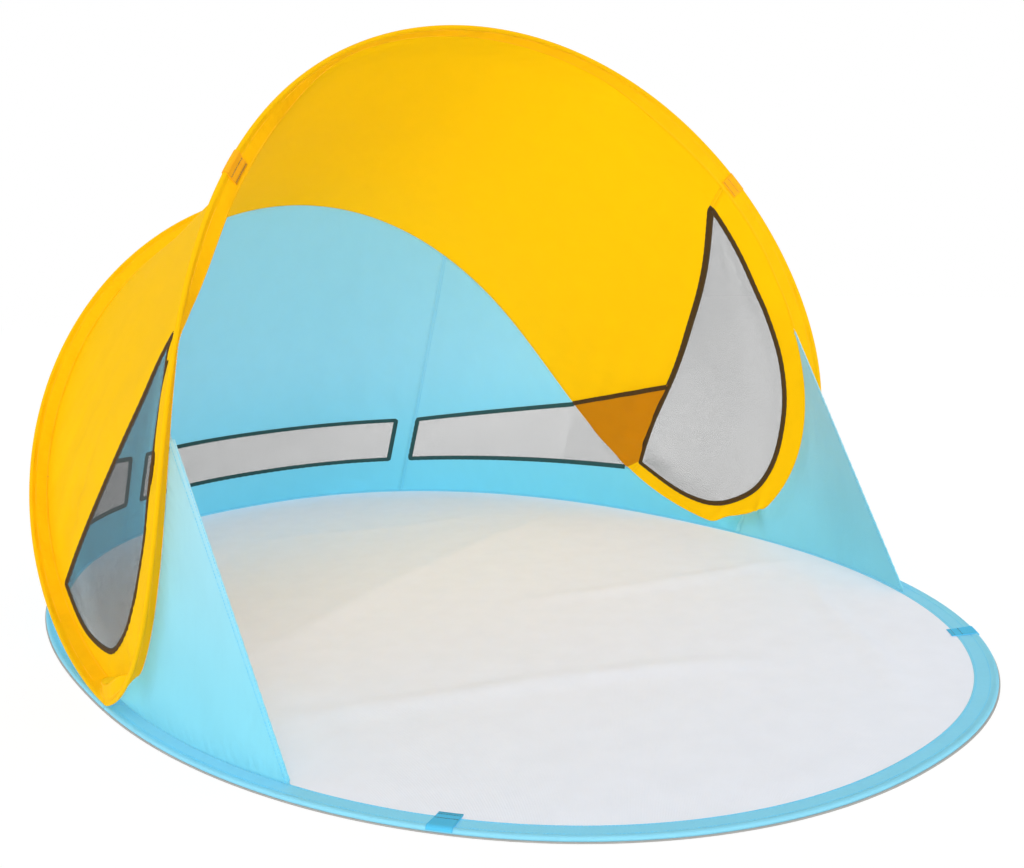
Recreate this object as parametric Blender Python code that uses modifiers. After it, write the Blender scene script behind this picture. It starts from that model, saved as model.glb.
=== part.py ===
"""Pop-up beach tent: sewn cloth on two sprung wire hoops. Metres, +Z up, opening to -Y."""

import math

import bmesh
import bpy
import numpy as np
from mathutils.geometry import delaunay_2d_cdt

# Floor outline, at the outer edge of its sleeve
floor_length = 1.900
floor_width = 1.380
widest_line_y = -0.063
fold_line_y = -0.117
front_outline_power = 2.16
rear_outline_power = 2.23

# Arches of the canopy hoop, at the middle of the wire
front_arch_height = 0.968
front_fullness_share = 0.086
front_rise_power = 1.262
front_lean_shares = (-1.082, 1.600, -0.564)
rear_arch_height = 0.762
rear_fullness_share = 0.129
rear_rise_power = 2.342
rear_lean_shares = (0.881, 0.485, -0.488)

# Where the front arch's stiff part begins, as a share of the way round the arch
front_leg_share = 0.062

# Wire, sleeves and fabric
wire_diameter = 0.003
wire_clearance = 0.0012
ferrule_wall = 0.0004
ferrule_clearance = 0.00025
ferrule_length = 0.034
sleeve_thickness = 0.0008
sleeve_width = 0.0275
sleeve_slit = 0.0004
fabric_thickness = 0.0009
mesh_thickness = 0.0007
floor_thickness = 0.0012
seam_gap = 0.0005
flap_gap = 0.0009
front_seam_allowance = 0.0004
rear_seam_allowance = 0.0007
gusset_seam_allowance = 0.0014
foot_seam_allowance = 0.0016
foot_seam_inset = 0.003
stack_gap = 0.0003
canopy_sag = 0.012
wall_sag = 0.010

# Windows and their binding
rear_sill_height = 0.097
rear_window_height = 0.110
rear_window_flare = 0.042
rear_sill_flare = 0.006
centre_window_margin = 0.049
side_window_margin = 0.007
binding_width = 0.011
rear_edge_binding_width = 0.014
binding_thickness = 0.0008
binding_web = 0.0006
binding_end_gap = 0.003

# Small webbing pieces
tab_width = 0.030
tab_overhang = 0.005
tab_thickness = 0.0012
rear_tab_reach = 0.012
loop_length = 0.030
loop_depth = 0.015
loop_thickness = 0.0009

# Seams and edges, as shares of the way round an arch, an edge or a panel
wall_seam_share = 0.6226
wall_spacing_power = 0.88
left_gusset_top_share = 0.166
right_gusset_top_share = 0.186
gusset_spacing_power = 0.85
left_gusset_foot_share = 0.163
right_gusset_foot_share = 0.210
roof_front_share = 0.300
roof_rear_share = 0.133
# Each side window: its top, the front edge going down, the rear corner, the rear edge from the top
left_window_shares = ((0.232, 0.055),
                      ((0.2000, 0.0640), (0.1752, 0.0950), (0.1480, 0.1380), (0.1185, 0.1850),
                       (0.0880, 0.3000), (0.0690, 0.4600), (0.0610, 0.7200), (0.0850, 0.9180)),
                      (0.1340, 0.9600),
                      ((0.2026, 0.1960), (0.1880, 0.3650), (0.1714, 0.5450), (0.1530, 0.7500)))
right_window_shares = ((0.2905, 0.065),
                       ((0.2470, 0.0700), (0.2050, 0.0740), (0.1640, 0.0790), (0.1230, 0.1090),
                        (0.0794, 0.1860), (0.0590, 0.3400), (0.0570, 0.6700), (0.0800, 0.8480)),
                       (0.1380, 0.9200),
                       ((0.2540, 0.2020), (0.2250, 0.3380), (0.1965, 0.5010), (0.1670, 0.7180)))
left_corner_top_shares = ((0.204, 0.975), (0.1770, 0.555))
right_corner_top_shares = ((0.2153, 0.975), (0.1900, 0.575))
front_tab_shares = (0.250, 0.705)
rear_tab_shares = (0.250, 0.750)
loop_share = 0.296

# How finely the curves are drawn; the foot sections are shares of the way round an arch
foot_section_shares = (0.006, 0.011, 0.016, 0.021, 0.026, 0.031, 0.036, 0.041, 0.051)
edge_table_steps = 240
arch_steps = 44
edge_steps = 34
panel_spacing = 0.095
outline_spacing = 0.055

# What follows from the sizes above
panel_start_share = foot_section_shares[1]
gusset_start_share = foot_section_shares[-2]
wall_end_share = 1 - foot_section_shares[-1]
sleeve_bore = wire_diameter / 2 + wire_clearance
sleeve_radius = sleeve_bore + sleeve_thickness
sleeve_edge_height = 2 * sleeve_thickness + sleeve_slit
seam_inset = sleeve_radius + sleeve_width
foot_height = 3 * sleeve_radius + stack_gap
hinge_height = 2 * sleeve_radius + stack_gap
sleeve_slope = (sleeve_radius * math.sin(math.radians(60)) - sleeve_edge_height / 2) / sleeve_width
wall_foot_height = sleeve_edge_height + 2 * (foot_seam_inset * sleeve_slope + stack_gap)
bound_gap = binding_web / 2 + stack_gap
up = np.array((0.0, 0.0, 1.0))


def unit(vector):
    return vector / np.linalg.norm(vector)


def square_to(vector, axis):
    """The part of a vector that is square to a unit axis, at length one."""
    return unit(vector - axis * np.dot(vector, axis))


class Path:
    """A drawn line that is read by the share of its length."""

    def __init__(self, points):
        self.points = np.array(points)
        steps = np.linalg.norm(np.diff(self.points, axis=0), axis=1)
        self.length = steps.sum()
        self.shares = np.concatenate(((0.0,), np.cumsum(steps))) / self.length

    def at(self, share):
        return np.array([np.interp(share, self.shares, self.points[:, k]) for k in range(3)])


def outline_point(turn, inset):
    """A point of the floor's outline; turn goes once round from the right-hand side, by the rear."""
    cosine, sine = math.cos(2 * math.pi * turn), math.sin(2 * math.pi * turn)
    half = floor_width / 2
    depth = floor_length / 2 - widest_line_y
    power = rear_outline_power
    if sine < 0:
        depth = floor_length / 2 + widest_line_y
        power = front_outline_power
    across = math.copysign(abs(cosine) ** (2 / power), cosine)
    along = math.copysign(abs(sine) ** (2 / power), sine)
    normal = unit(np.array((math.copysign(abs(across) ** (power - 1), across) / half,
                            math.copysign(abs(along) ** (power - 1), along) / depth, 0.0)))
    return np.array((half * across, widest_line_y + depth * along, 0.0)) - inset * normal


def edge_path(rear, inset, height):
    """The floor's edge from the left foot to the right foot, by the rear or by the front."""
    limit = fold_line_y + (seam_gap / 2 if rear else -seam_gap / 2)
    turns = np.linspace(0.0, 0.25, edge_table_steps)
    falls = [-outline_point(0.5 + turn, inset)[1] for turn in turns]
    start = float(np.interp(-limit, falls, turns))
    first, last = (0.5 + start, -start) if rear else (0.5 + start, 1.0 - start)
    lift = np.array((0.0, 0.0, height))
    return Path([outline_point(t, inset) + lift for t in np.linspace(first, last, edge_table_steps)])


foot_half_span = float(edge_path(False, sleeve_radius, 0.0).points[-1][0])


def arch_point(share, height, fullness_share, rise_power, lean_shares):
    angle = math.pi * share
    swell = max(math.sin(angle), 0.0)
    across = (1 + fullness_share) * math.cos(angle) - fullness_share * math.cos(3 * angle)
    lean = sum(part * swell ** (n + 1) for n, part in enumerate(lean_shares))
    rise = (height - foot_height) * swell ** rise_power
    return np.array((-foot_half_span * across, fold_line_y + height * lean, foot_height + rise))


def front_wire(share):
    return arch_point(share, front_arch_height, front_fullness_share, front_rise_power,
                      front_lean_shares)


def rear_wire(share):
    return arch_point(share, rear_arch_height, rear_fullness_share, rear_rise_power,
                      rear_lean_shares)


def tangent(line, share):
    """The direction of a line, made level at the very feet of the arches."""
    step = 0.002
    low, high = max(share - step, 0.0), min(share + step, 1.0)
    true = unit(line(high) - line(low))
    level = unit(true * (1.0, 1.0, 0.0))
    blend = foot_blend(share)
    return unit(true * (1 - blend) + level * blend)


def smooth(low, high, value):
    t = min(max((value - low) / (high - low), 0.0), 1.0)
    return t * t * (3 - 2 * t)


def legs(share):
    """One at the feet, nought over the top of an arch."""
    return 1 - smooth(0.10, 0.34, min(share, 1 - share))


def foot_blend(share):
    """One at the very foot, where both flaps stand upright."""
    return 1 - smooth(0.004, 0.035, min(share, 1 - share))


def front_flap(share):
    """The direction from the front wire to its seam: towards the rear arch, and inwards on the legs."""
    share = min(max(share, 0.001), 0.999)
    pull = unit(rear_wire(share) - front_wire(share))
    inwards = np.array((math.copysign(1.0, 0.5 - share), 0.0, 0.0))
    low = foot_blend(share)
    pull = (pull + inwards * 0.75 * legs(share) * (1 - low)) * (1 - low) + up * low
    return square_to(pull, tangent(front_wire, share))


def rear_flap(share):
    """The direction from the rear wire to its seam: between the canopy's pull and the wall's."""
    share = min(max(share, 0.001), 0.999)
    pull = unit(front_wire(share) - rear_wire(share)) * (1 - 0.7 * legs(share))
    down = -up * 2.2 * smooth(0.05, 0.30, min(share, 1 - share))
    inwards = np.array((math.copysign(1.6, 0.5 - share), 0.0, 0.0)) * legs(share)
    low = foot_blend(share)
    pull = (pull + down + inwards) * (1 - low) + up * low
    return square_to(pull, tangent(rear_wire, share))


def front_seam(share):
    return front_wire(share) + front_flap(share) * (sleeve_width + flap_gap)


def rear_seam(share):
    return rear_wire(share) + rear_flap(share) * (sleeve_width + flap_gap)


def canopy(share, depth):
    """The canopy's surface: share runs round the arches, depth from the front seam to the rear."""
    front, rear = front_seam(share), rear_seam(share)
    way = unit(rear - front)
    rear_allowance = rear_seam_allowance + foot_seam_allowance * foot_blend(share)
    front, rear = front + way * front_seam_allowance, rear - way * rear_allowance
    point = front + (rear - front) * depth
    inwards = unit(np.array((0.0, point[1], rear_arch_height / 2)) - point)
    hollow = canopy_sag * 4 * depth * (1 - depth) * math.sin(math.pi * share)
    return point + inwards * hollow


rear_foot = edge_path(True, seam_inset - foot_seam_inset, wall_foot_height)
front_foot = edge_path(False, seam_inset - foot_seam_inset, wall_foot_height)


def wall_foot_share(share):
    side = abs(2 * share - 1)
    return 0.5 + math.copysign(0.5 * side ** wall_spacing_power, share - 0.5)


def wall(share, drop):
    """The rear wall: share runs round the rear arch, drop from its seam to the floor's edge."""
    foot = rear_foot.at(wall_foot_share(share))
    top = rear_seam(share)
    top = top + unit(foot - top) * rear_seam_allowance
    inwards = unit(np.array((0.0, fold_line_y, 0.0)) - foot * np.array((1.0, 1.0, 0.0)))
    hollow = wall_sag * 4 * drop * (1 - drop) * math.sin(math.pi * share)
    return top + (foot - top) * drop + inwards * hollow


def gusset(side, top_share, foot_share):
    """The entrance gusset: from the front arch's leg to the floor's front edge."""

    def surface(along, drop):
        share = top_share * along
        edge_share = foot_share * along ** gusset_spacing_power
        if side > 0:
            share, edge_share = 1 - share, 1 - edge_share
        foot = front_foot.at(edge_share)
        flap = front_flap(share)
        across = np.cross(flap, tangent(front_wire, share))
        top = front_seam(share) + flap * front_seam_allowance + across * gusset_seam_allowance
        return top + (foot - top) * drop

    return surface


def offset_surface(surface, distance):
    """The same surface moved along its normal; a positive distance goes towards the tent's inside."""

    def moved(first, second):
        step = 0.004
        here = surface(first, second)
        along = surface(first + step, second) - surface(first - step, second)
        across = surface(first, second + step) - surface(first, second - step)
        normal = unit(np.cross(along, across))
        centre = np.array((0.0, fold_line_y / 2, rear_arch_height / 3))
        if np.dot(normal, centre - here) < 0:
            normal = -normal
        return here + normal * distance

    return moved


def material(name, colour, roughness, metallic=0.0):
    found = bpy.data.materials.get(name) or bpy.data.materials.new(name)
    found.use_nodes = True
    shader = found.node_tree.nodes["Principled BSDF"]
    shader.inputs["Base Color"].default_value = (*colour, 1.0)
    shader.inputs["Roughness"].default_value = roughness
    shader.inputs["Metallic"].default_value = metallic
    found.diffuse_color = (*colour, 1.0)
    return found


def start_scene():
    for thing in list(bpy.data.objects):
        bpy.data.objects.remove(thing)
    parts = bpy.data.collections.new("beach_tent")
    bpy.context.scene.collection.children.link(parts)
    return parts


parts_collection = start_scene()
yellow_fabric = material("yellow_polyester", (0.93, 0.55, 0.01), 0.6)
blue_fabric = material("blue_polyester", (0.25, 0.68, 0.85), 0.6)
grey_floor = material("grey_tarpaulin", (0.72, 0.72, 0.74), 0.5)
dark_binding = material("dark_binding", (0.015, 0.05, 0.06), 0.7)
brown_binding = material("brown_binding", (0.06, 0.03, 0.005), 0.7)
window_net = material("grey_window_net", (0.45, 0.45, 0.46), 0.8)
spring_steel = material("spring_steel", (0.45, 0.46, 0.48), 0.35, 0.9)
blue_webbing = material("blue_webbing", (0.20, 0.62, 0.83), 0.7)
orange_patch = material("orange_stitching", (0.85, 0.35, 0.02), 0.7)


def add_part(name, data, finish, pivot=None):
    part = bpy.data.objects.new(name, data)
    parts_collection.objects.link(part)
    data.materials.append(finish)
    if pivot is not None:
        part.parent = pivot
    return part


def add_pivot(name, height):
    """An empty on the fold line, which carries the pieces that turn about it."""
    pivot = bpy.data.objects.new(name, None)
    pivot.location = (0.0, fold_line_y, height)
    parts_collection.objects.link(pivot)
    return pivot


front_arch_pivot = add_pivot("front_arch_pivot", hinge_height)
front_floor_pivot = add_pivot("front_floor_pivot", hinge_height)
front_floor_pivot.parent = front_arch_pivot
front_floor_pivot.location = (0.0, 0.0, 0.0)


def placed(points, pivot):
    """World points as the pivot's own points, because both pivots stand at one place, unturned."""
    if pivot is None:
        return points
    return [point - np.array((0.0, fold_line_y, hinge_height)) for point in points]


def wire(name, line, shares, pivot=None):
    """Round spring wire along a line."""
    points = placed([line(share) for share in shares], pivot)
    curve = bpy.data.curves.new(name, "CURVE")
    curve.dimensions = "3D"
    curve.bevel_depth = wire_diameter / 2
    curve.bevel_resolution = 1
    curve.use_fill_caps = True
    curve.render_resolution_u = 0
    spline = curve.splines.new("POLY")
    spline.points.add(len(points) - 1)
    for target, point in zip(spline.points, points):
        target.co = (*point, 1.0)
    return add_part(name, curve, spring_steel, pivot)


def swept_mesh(name, sections, closed, finish, pivot=None):
    """A solid through sections that all have the same number of corners."""
    corners = len(sections[0])
    points = placed([point for section in sections for point in section], pivot)
    faces = []
    joins = len(sections) if closed else len(sections) - 1
    for n in range(joins):
        here, there = n * corners, (n + 1) % len(sections) * corners
        for k in range(corners):
            k_next = (k + 1) % corners
            a, b, c, d = here + k, here + k_next, there + k_next, there + k
            across, back = (np.linalg.norm(points[n] - points[m]) for n, m in ((a, c), (b, d)))
            faces += [(a, b, c), (a, c, d)] if across < back else [(a, b, d), (b, c, d)]
    if not closed:
        faces.append(tuple(reversed(range(corners))))
        faces.append(tuple(range((len(sections) - 1) * corners, len(sections) * corners)))
    mesh = bpy.data.meshes.new(name)
    mesh.from_pydata([tuple(p) for p in points], [], faces)
    return add_part(name, mesh, finish, pivot)


def sleeve_outline():
    """Fabric folded round the wire: (towards the seam, across) corners of a thin U."""
    angles = [math.radians(a) for a in (60, 120, 180, 240, 300)]
    end, lip = sleeve_width, sleeve_edge_height / 2
    outside = [(sleeve_radius * math.cos(a), sleeve_radius * math.sin(a)) for a in angles]
    inside = [(sleeve_bore * math.cos(a), sleeve_bore * math.sin(a)) for a in reversed(angles)]
    slit = sleeve_slit / 2
    return [(end, lip)] + outside + [(end, -lip), (end, -slit)] + inside + [(end, slit)]


def ferrule_outline():
    """A crimped ferrule round the wire, open at its split."""
    bore = wire_diameter / 2 + ferrule_clearance
    outer = bore + ferrule_wall
    angles = [math.radians(a) for a in (8, 52, 96, 140, 180, 220, 264, 308, 352)]
    outside = [(outer * math.cos(a), outer * math.sin(a)) for a in angles]
    inside = [(bore * math.cos(a), bore * math.sin(a)) for a in reversed(angles)]
    return outside + inside


def along_line(outline, line, flap, shares):
    """An outline set square to a line at each share, with its first axis along the flap."""
    sections = []
    for share in shares:
        forward = tangent(line, share)
        out = square_to(flap(share), forward)
        across = np.cross(forward, out)
        sections.append([line(share) + out * a + across * b for a, b in outline])
    return sections


def spread(first, last, count):
    return list(np.linspace(first, last, count))


def with_shares(shares, more):
    """A rising list of shares with more of them added, leaving out near doubles."""
    step = 0.0015
    kept = [s for s in shares if all(abs(s - m) > step for m in more)]
    return sorted(kept + list(more))


def wire_gap_share(line, share):
    """The share that one seam gap takes along a line."""
    step = 0.004
    near = min(share + step, 1.0)
    return seam_gap * step / np.linalg.norm(line(near) - line(near - step))


def floor_line(rear):
    """The middle of the floor's wire, by share."""
    return edge_path(rear, sleeve_radius, sleeve_radius).at


def floor_flap(line):
    """The direction from the floor wire to its seam: inwards, and down to lie on the ground."""
    fall = (sleeve_radius - sleeve_edge_height / 2) / sleeve_width

    def flap(share):
        forward = tangent(line, share)
        inwards = np.cross(up, forward)
        middle = np.array((0.0, widest_line_y, 0.0)) - line(share)
        if np.dot(inwards, middle) < 0:
            inwards = -inwards
        return unit(inwards) * math.sqrt(1 - fall * fall) - up * fall

    return flap


def inside_loop(point, loop):
    """Whether a flat point lies within a closed loop."""
    found = False
    for (x1, y1), (x2, y2) in zip(loop, loop[1:] + loop[:1]):
        if (y1 > point[1]) != (y2 > point[1]):
            if point[0] < (x2 - x1) * (point[1] - y1) / (y2 - y1) + x1:
                found = not found
    return found


def distance_to_loop(point, loop):
    best = math.inf
    for start, end in zip(loop, loop[1:] + loop[:1]):
        start, end = np.array(start), np.array(end)
        way = end - start
        t = np.clip(np.dot(point - start, way) / max(np.dot(way, way), 1e-12), 0, 1)
        best = min(best, np.linalg.norm(point - start - way * t))
    return best


def sheet_mesh(loops, surface, scales, spacing, guides):
    """A triangulated sheet on a surface, inside the first loop and outside the others."""
    flat = [[(a * scales[0], b * scales[1]) for a, b in loop] for loop in loops]
    lines = [[(a * scales[0], b * scales[1]) for a, b in line] for line in guides]
    points, edges = [], []
    for loop in flat:
        start = len(points)
        points += loop
        edges += [(start + n, start + (n + 1) % len(loop)) for n in range(len(loop))]
    for line in lines:
        start = len(points)
        points += line
        edges += [(start + n, start + n + 1) for n in range(len(line) - 1)]
    low, high = np.min(flat[0], axis=0), np.max(flat[0], axis=0)
    rows = max(int((high[1] - low[1]) / spacing), 1)
    columns = max(int((high[0] - low[0]) / spacing), 1)
    for row in range(1, rows):
        for column in range(1, columns + 1):
            place = np.array((low[0] + (column - 0.5 * (row % 2)) * (high[0] - low[0]) / columns,
                              low[1] + row * (high[1] - low[1]) / rows))
            bare = flat[1:] + [line for line in lines if line[0] == line[-1]]
            within = inside_loop(place, flat[0]) and not any(inside_loop(place, f) for f in bare)
            clear = min(distance_to_loop(place, f) for f in flat + lines)
            if within and clear > spacing * 0.42:
                points.append(tuple(place))
    verts, _, faces, *_ = delaunay_2d_cdt(points, edges, [], 0, 1e-7)
    kept = []
    for face in faces:
        centre = np.mean([verts[n] for n in face], axis=0)
        if inside_loop(centre, flat[0]) and not any(inside_loop(centre, f) for f in flat[1:]):
            kept.append(tuple(face))
    used = sorted({n for face in kept for n in face})
    index = {old: new for new, old in enumerate(used)}
    solid = [surface(verts[n][0] / scales[0], verts[n][1] / scales[1]) for n in used]
    return solid, [tuple(index[n] for n in face) for face in kept]


def sheet(name, loops, surface, scales, finish, thickness, guides=(), spacing=panel_spacing,
          pivot=None):
    """A sewn panel: a sheet on a surface, with the fabric's thickness from a Solidify modifier."""
    points, faces = sheet_mesh(loops, surface, scales, spacing, guides)
    mesh = bpy.data.meshes.new(name)
    mesh.from_pydata([tuple(p) for p in placed(points, pivot)], [], faces)
    part = add_part(name, mesh, finish, pivot)
    wall_modifier = part.modifiers.new("thickness", "SOLIDIFY")
    wall_modifier.thickness = thickness
    wall_modifier.offset = 0.0
    return part


def run(start, end, scales, spacing=outline_spacing):
    """Points from start up to, but without, end, spaced along a straight run of an outline."""
    start, end = np.array(start), np.array(end)
    size = np.linalg.norm((end - start) * np.array(scales))
    count = max(int(round(size / spacing)), 1)
    return [tuple(start + (end - start) * n / count) for n in range(count)]


def seam_run(start, end, shares):
    """Points along a sleeve's seam, from start up to, but without, end, at the sleeve's own shares."""
    step = 0.001
    low, high = sorted((start[0], end[0]))
    between = [s for s in shares if low + step < s < high - step]
    if start[0] > end[0]:
        between = between[::-1]
    return [start] + [(s, start[1]) for s in between]


def smooth_run(points, steps):
    """A smooth line through points, without its last point."""
    points = [np.array(p) for p in points]
    ends = [2 * points[0] - points[1]] + points + [2 * points[-1] - points[-2]]
    line = []
    for a, b, c, d in zip(ends, ends[1:], ends[2:], ends[3:]):
        for n in range(steps):
            t = n / steps
            line.append(tuple(0.5 * (2 * b + (c - a) * t + (2 * a - 5 * b + 4 * c - d) * t ** 2
                                     + (3 * b - a - 3 * c + d) * t ** 3)))
    return line


def beside(points, surface, distances, closed=False, end_gap=None):
    """A line on a surface moved sideways by a distance at each point; positive is to its left."""
    count = len(points)
    moved = []
    for n, (a, b) in enumerate(points):
        step = 0.002
        first = (surface(a + step, b) - surface(a - step, b)) / (2 * step)
        second = (surface(a, b + step) - surface(a, b - step)) / (2 * step)
        normal = unit(np.cross(first, second))
        here = surface(a, b)
        back = surface(*points[n - 1]) if closed or n else None
        ahead = surface(*points[(n + 1) % count]) if closed or n < count - 1 else None
        outgoing = unit(ahead - here) if ahead is not None else unit(here - back)
        incoming = unit(here - back) if back is not None else outgoing
        forward = unit(incoming + outgoing)
        stretch = min(1 / max(np.dot(forward, incoming), 0.5), 1.7)
        side = unit(np.cross(normal, forward)) * distances[n] * stretch
        shift = np.linalg.lstsq(np.array((first, second)).T, side, rcond=None)[0]
        slide = 0.0
        way = (0.0, 0.0)
        if end_gap is not None and n in (0, count - 1):
            way = np.array(points[n]) - np.array(points[1 if n == 0 else n - 1])
            slide = (end_gap / np.linalg.norm(second) - b - shift[1]) / way[1]
        moved.append((a + shift[0] + way[0] * slide, b + shift[1] + way[1] * slide))
    return moved


def ribbon_sections(points, surface, widths, low, high, closed=False):
    """Sections of a flat tape that lies along a line on a surface, between two distances from it."""
    left = beside(points, surface, [w / 2 for w in widths], closed)
    right = beside(points, surface, [-w / 2 for w in widths], closed)
    near, far = offset_surface(surface, low), offset_surface(surface, high)
    return [[near(*a), near(*b), far(*b), far(*a)] for a, b in zip(left, right)]


def binding_sections(points, surface, widths, closed=False):
    """Sections of a binding: a tape on each face of the cloth, and a web between cloth and net."""
    web = [binding_web] * len(points)
    lines = [beside(points, surface, [w / 2 for w in widths], closed),
             beside(points, surface, [w / 2 for w in web], closed),
             beside(points, surface, [-w / 2 for w in web], closed),
             beside(points, surface, [-w / 2 for w in widths], closed)]
    near = fabric_thickness / 2 + stack_gap
    far = near + binding_thickness
    inner_far, inner_near, outer_near, outer_far = (offset_surface(surface, d)
                                                    for d in (far, near, -near, -far))
    sections = []
    for left, mid_left, mid_right, right in zip(*lines):
        sections.append([inner_far(*left), inner_near(*left), inner_near(*mid_left),
                         outer_near(*mid_left), outer_near(*left), outer_far(*left),
                         outer_far(*right), outer_near(*right), outer_near(*mid_right),
                         inner_near(*mid_right), inner_near(*right), inner_far(*right)])
    return sections


def outward_faces(part):
    """Turns a swept part's faces outwards."""
    work = bmesh.new()
    work.from_mesh(part.data)
    bmesh.ops.recalc_face_normals(work, faces=work.faces)
    work.to_mesh(part.data)
    work.free()


def flat_outline(name, outlines, low, thickness, finish, pivot=None):
    """A flat sheet with the given outlines, lying with its underside at a height."""
    curve = bpy.data.curves.new(name, "CURVE")
    curve.dimensions = "2D"
    curve.fill_mode = "BOTH"
    curve.extrude = thickness / 2
    curve.render_resolution_u = 0
    for outline in outlines:
        spline = curve.splines.new("POLY")
        spline.use_cyclic_u = True
        spline.points.add(len(outline) - 1)
        for target, point in zip(spline.points, outline):
            target.co = (point[0], point[1], 0.0, 1.0)
    part = add_part(name, curve, finish)
    part.location = (0.0, 0.0, low + thickness / 2)
    if pivot is not None:
        part.parent = pivot
        part.location = (0.0, -fold_line_y, low + thickness / 2 - hinge_height)
    return part


def mirrored(points):
    """The same outline on the other side of the tent."""
    return [(1 - a, b) for a, b in points]


def piece_shares(line, share, length):
    """Where a piece of a given length starts, is midmost and ends on a line."""
    step = 0.01
    size = np.linalg.norm(line(share + step) - line(share - step)) / (2 * step)
    half = length / size / 2
    return [share - half, share, share + half]


def loop_shares(share):
    """Where a stitched loop starts, is midmost and ends on the front arch."""
    return piece_shares(front_wire, share, loop_length)


def tab_shares(line, share):
    """Where a peg strap starts, is midmost and ends on the floor's edge."""
    return piece_shares(line, share, tab_width)


def ferrule_shares(line):
    """Where a ferrule starts, is midmost and ends, half way round a line."""
    return piece_shares(line, 0.5, ferrule_length)


tab_places = {"front": front_tab_shares, "rear": rear_tab_shares}
canopy_sides = (("left", list, left_window_shares, left_corner_top_shares),
                ("right", mirrored, right_window_shares, right_corner_top_shares))


rear_start = wire_gap_share(rear_wire, 0.0)
front_start = wire_gap_share(front_wire, 0.0)
leg_gap = wire_gap_share(front_wire, front_leg_share)
left_foot_shares = [front_start] + list(foot_section_shares) + [front_leg_share]
right_foot_shares = [1 - share for share in reversed(left_foot_shares)]
front_top_shares = with_shares(spread(front_leg_share + leg_gap, 1 - front_leg_share - leg_gap,
                                      arch_steps),
                               loop_shares(loop_share) + loop_shares(1 - loop_share))
front_shares = left_foot_shares + front_top_shares + right_foot_shares
rear_top_shares = with_shares(spread(front_leg_share, 1 - front_leg_share, arch_steps),
                              ferrule_shares(rear_wire))
rear_shares = [rear_start] + list(foot_section_shares) + rear_top_shares + \
    [1 - share for share in reversed(foot_section_shares)] + [1 - rear_start]


def build_floor(prefix, rear, pivot):
    line = floor_line(rear)
    shares = spread(0.0, 1.0, edge_steps)
    for share in tab_places[prefix]:
        shares = with_shares(shares, tab_shares(line, share))
    if rear:
        shares = with_shares(shares, ferrule_shares(line))
    wire(prefix + "_floor_wire", line, shares, pivot)
    sections = along_line(sleeve_outline(), line, floor_flap(line), shares)
    outward_faces(swept_mesh(prefix + "_floor_sleeve", sections, False, blue_fabric, pivot))
    seam = edge_path(rear, seam_inset + seam_gap, 0.0)
    outline = [seam.at(share) for share in shares]
    flat_outline(prefix + "_floor_panel", [outline], 0.0, floor_thickness, grey_floor, pivot)


def build_arches():
    for name, line, flap, shares, pivot in (
            ("rear_arch", rear_wire, rear_flap, rear_shares, None),
            ("front_arch", front_wire, front_flap, front_top_shares, front_arch_pivot),
            ("left_foot", front_wire, front_flap, left_foot_shares, None),
            ("right_foot", front_wire, front_flap, right_foot_shares, None)):
        wire(name + "_wire", line, shares, pivot)
        sections = along_line(sleeve_outline(), line, flap, shares)
        outward_faces(swept_mesh(name + "_sleeve", sections, False, yellow_fabric, pivot))


def build_ferrules():
    """The crimped tubes that close the two wire hoops."""
    line = floor_line(True)
    for name, hoop, flap in (("canopy_hoop_ferrule", rear_wire, rear_flap),
                             ("floor_hoop_ferrule", line, floor_flap(line))):
        sections = along_line(ferrule_outline(), hoop, flap, ferrule_shares(hoop))
        outward_faces(swept_mesh(name, sections, False, spring_steel))


def measured(line):
    """The length of a line that is read by share."""
    points = [line(share) for share in spread(0.0, 1.0, edge_steps)]
    return sum(np.linalg.norm(b - a) for a, b in zip(points, points[1:]))


middle_share = 0.5
canopy_scales = (measured(front_wire), measured(lambda depth: canopy(middle_share, depth)))
wall_scales = (measured(rear_wire), measured(lambda drop: wall(middle_share, drop)))


def window_edges(window):
    """A side window's front edge going down, and its rear edge going up again."""
    top, front, corner, rear = window
    return smooth_run((top,) + front + (corner,), 3), smooth_run((corner,) + rear[::-1] + (top,), 3)


def loop_area(loop):
    """The area inside a flat closed loop."""
    return abs(sum(x1 * y2 - x2 * y1 for (x1, y1), (x2, y2) in zip(loop, loop[1:] + loop[:1]))) / 2


def ring_sides(points, surface, widths, closed):
    """The edges of the cloth and of the net along a binding, and the binding's own two edges."""
    # An open binding stops one point short of the seam, and cloth and net go on to it
    gaps = [bound_gap] * len(points)
    half = [w / 2 for w in widths]
    edge_end = None if closed else 0.0
    sides = []
    for way in (1, -1):
        tape = beside(points, surface, [h * way for h in half], closed)
        sides.append((beside(points, surface, [g * way for g in gaps], closed, edge_end),
                      tape if closed else tape[1:-1]))
    (cloth, cloth_tape), (net, net_tape) = sorted(sides, key=lambda s: -loop_area(s[0]))
    return cloth, net, cloth_tape, net_tape


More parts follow.
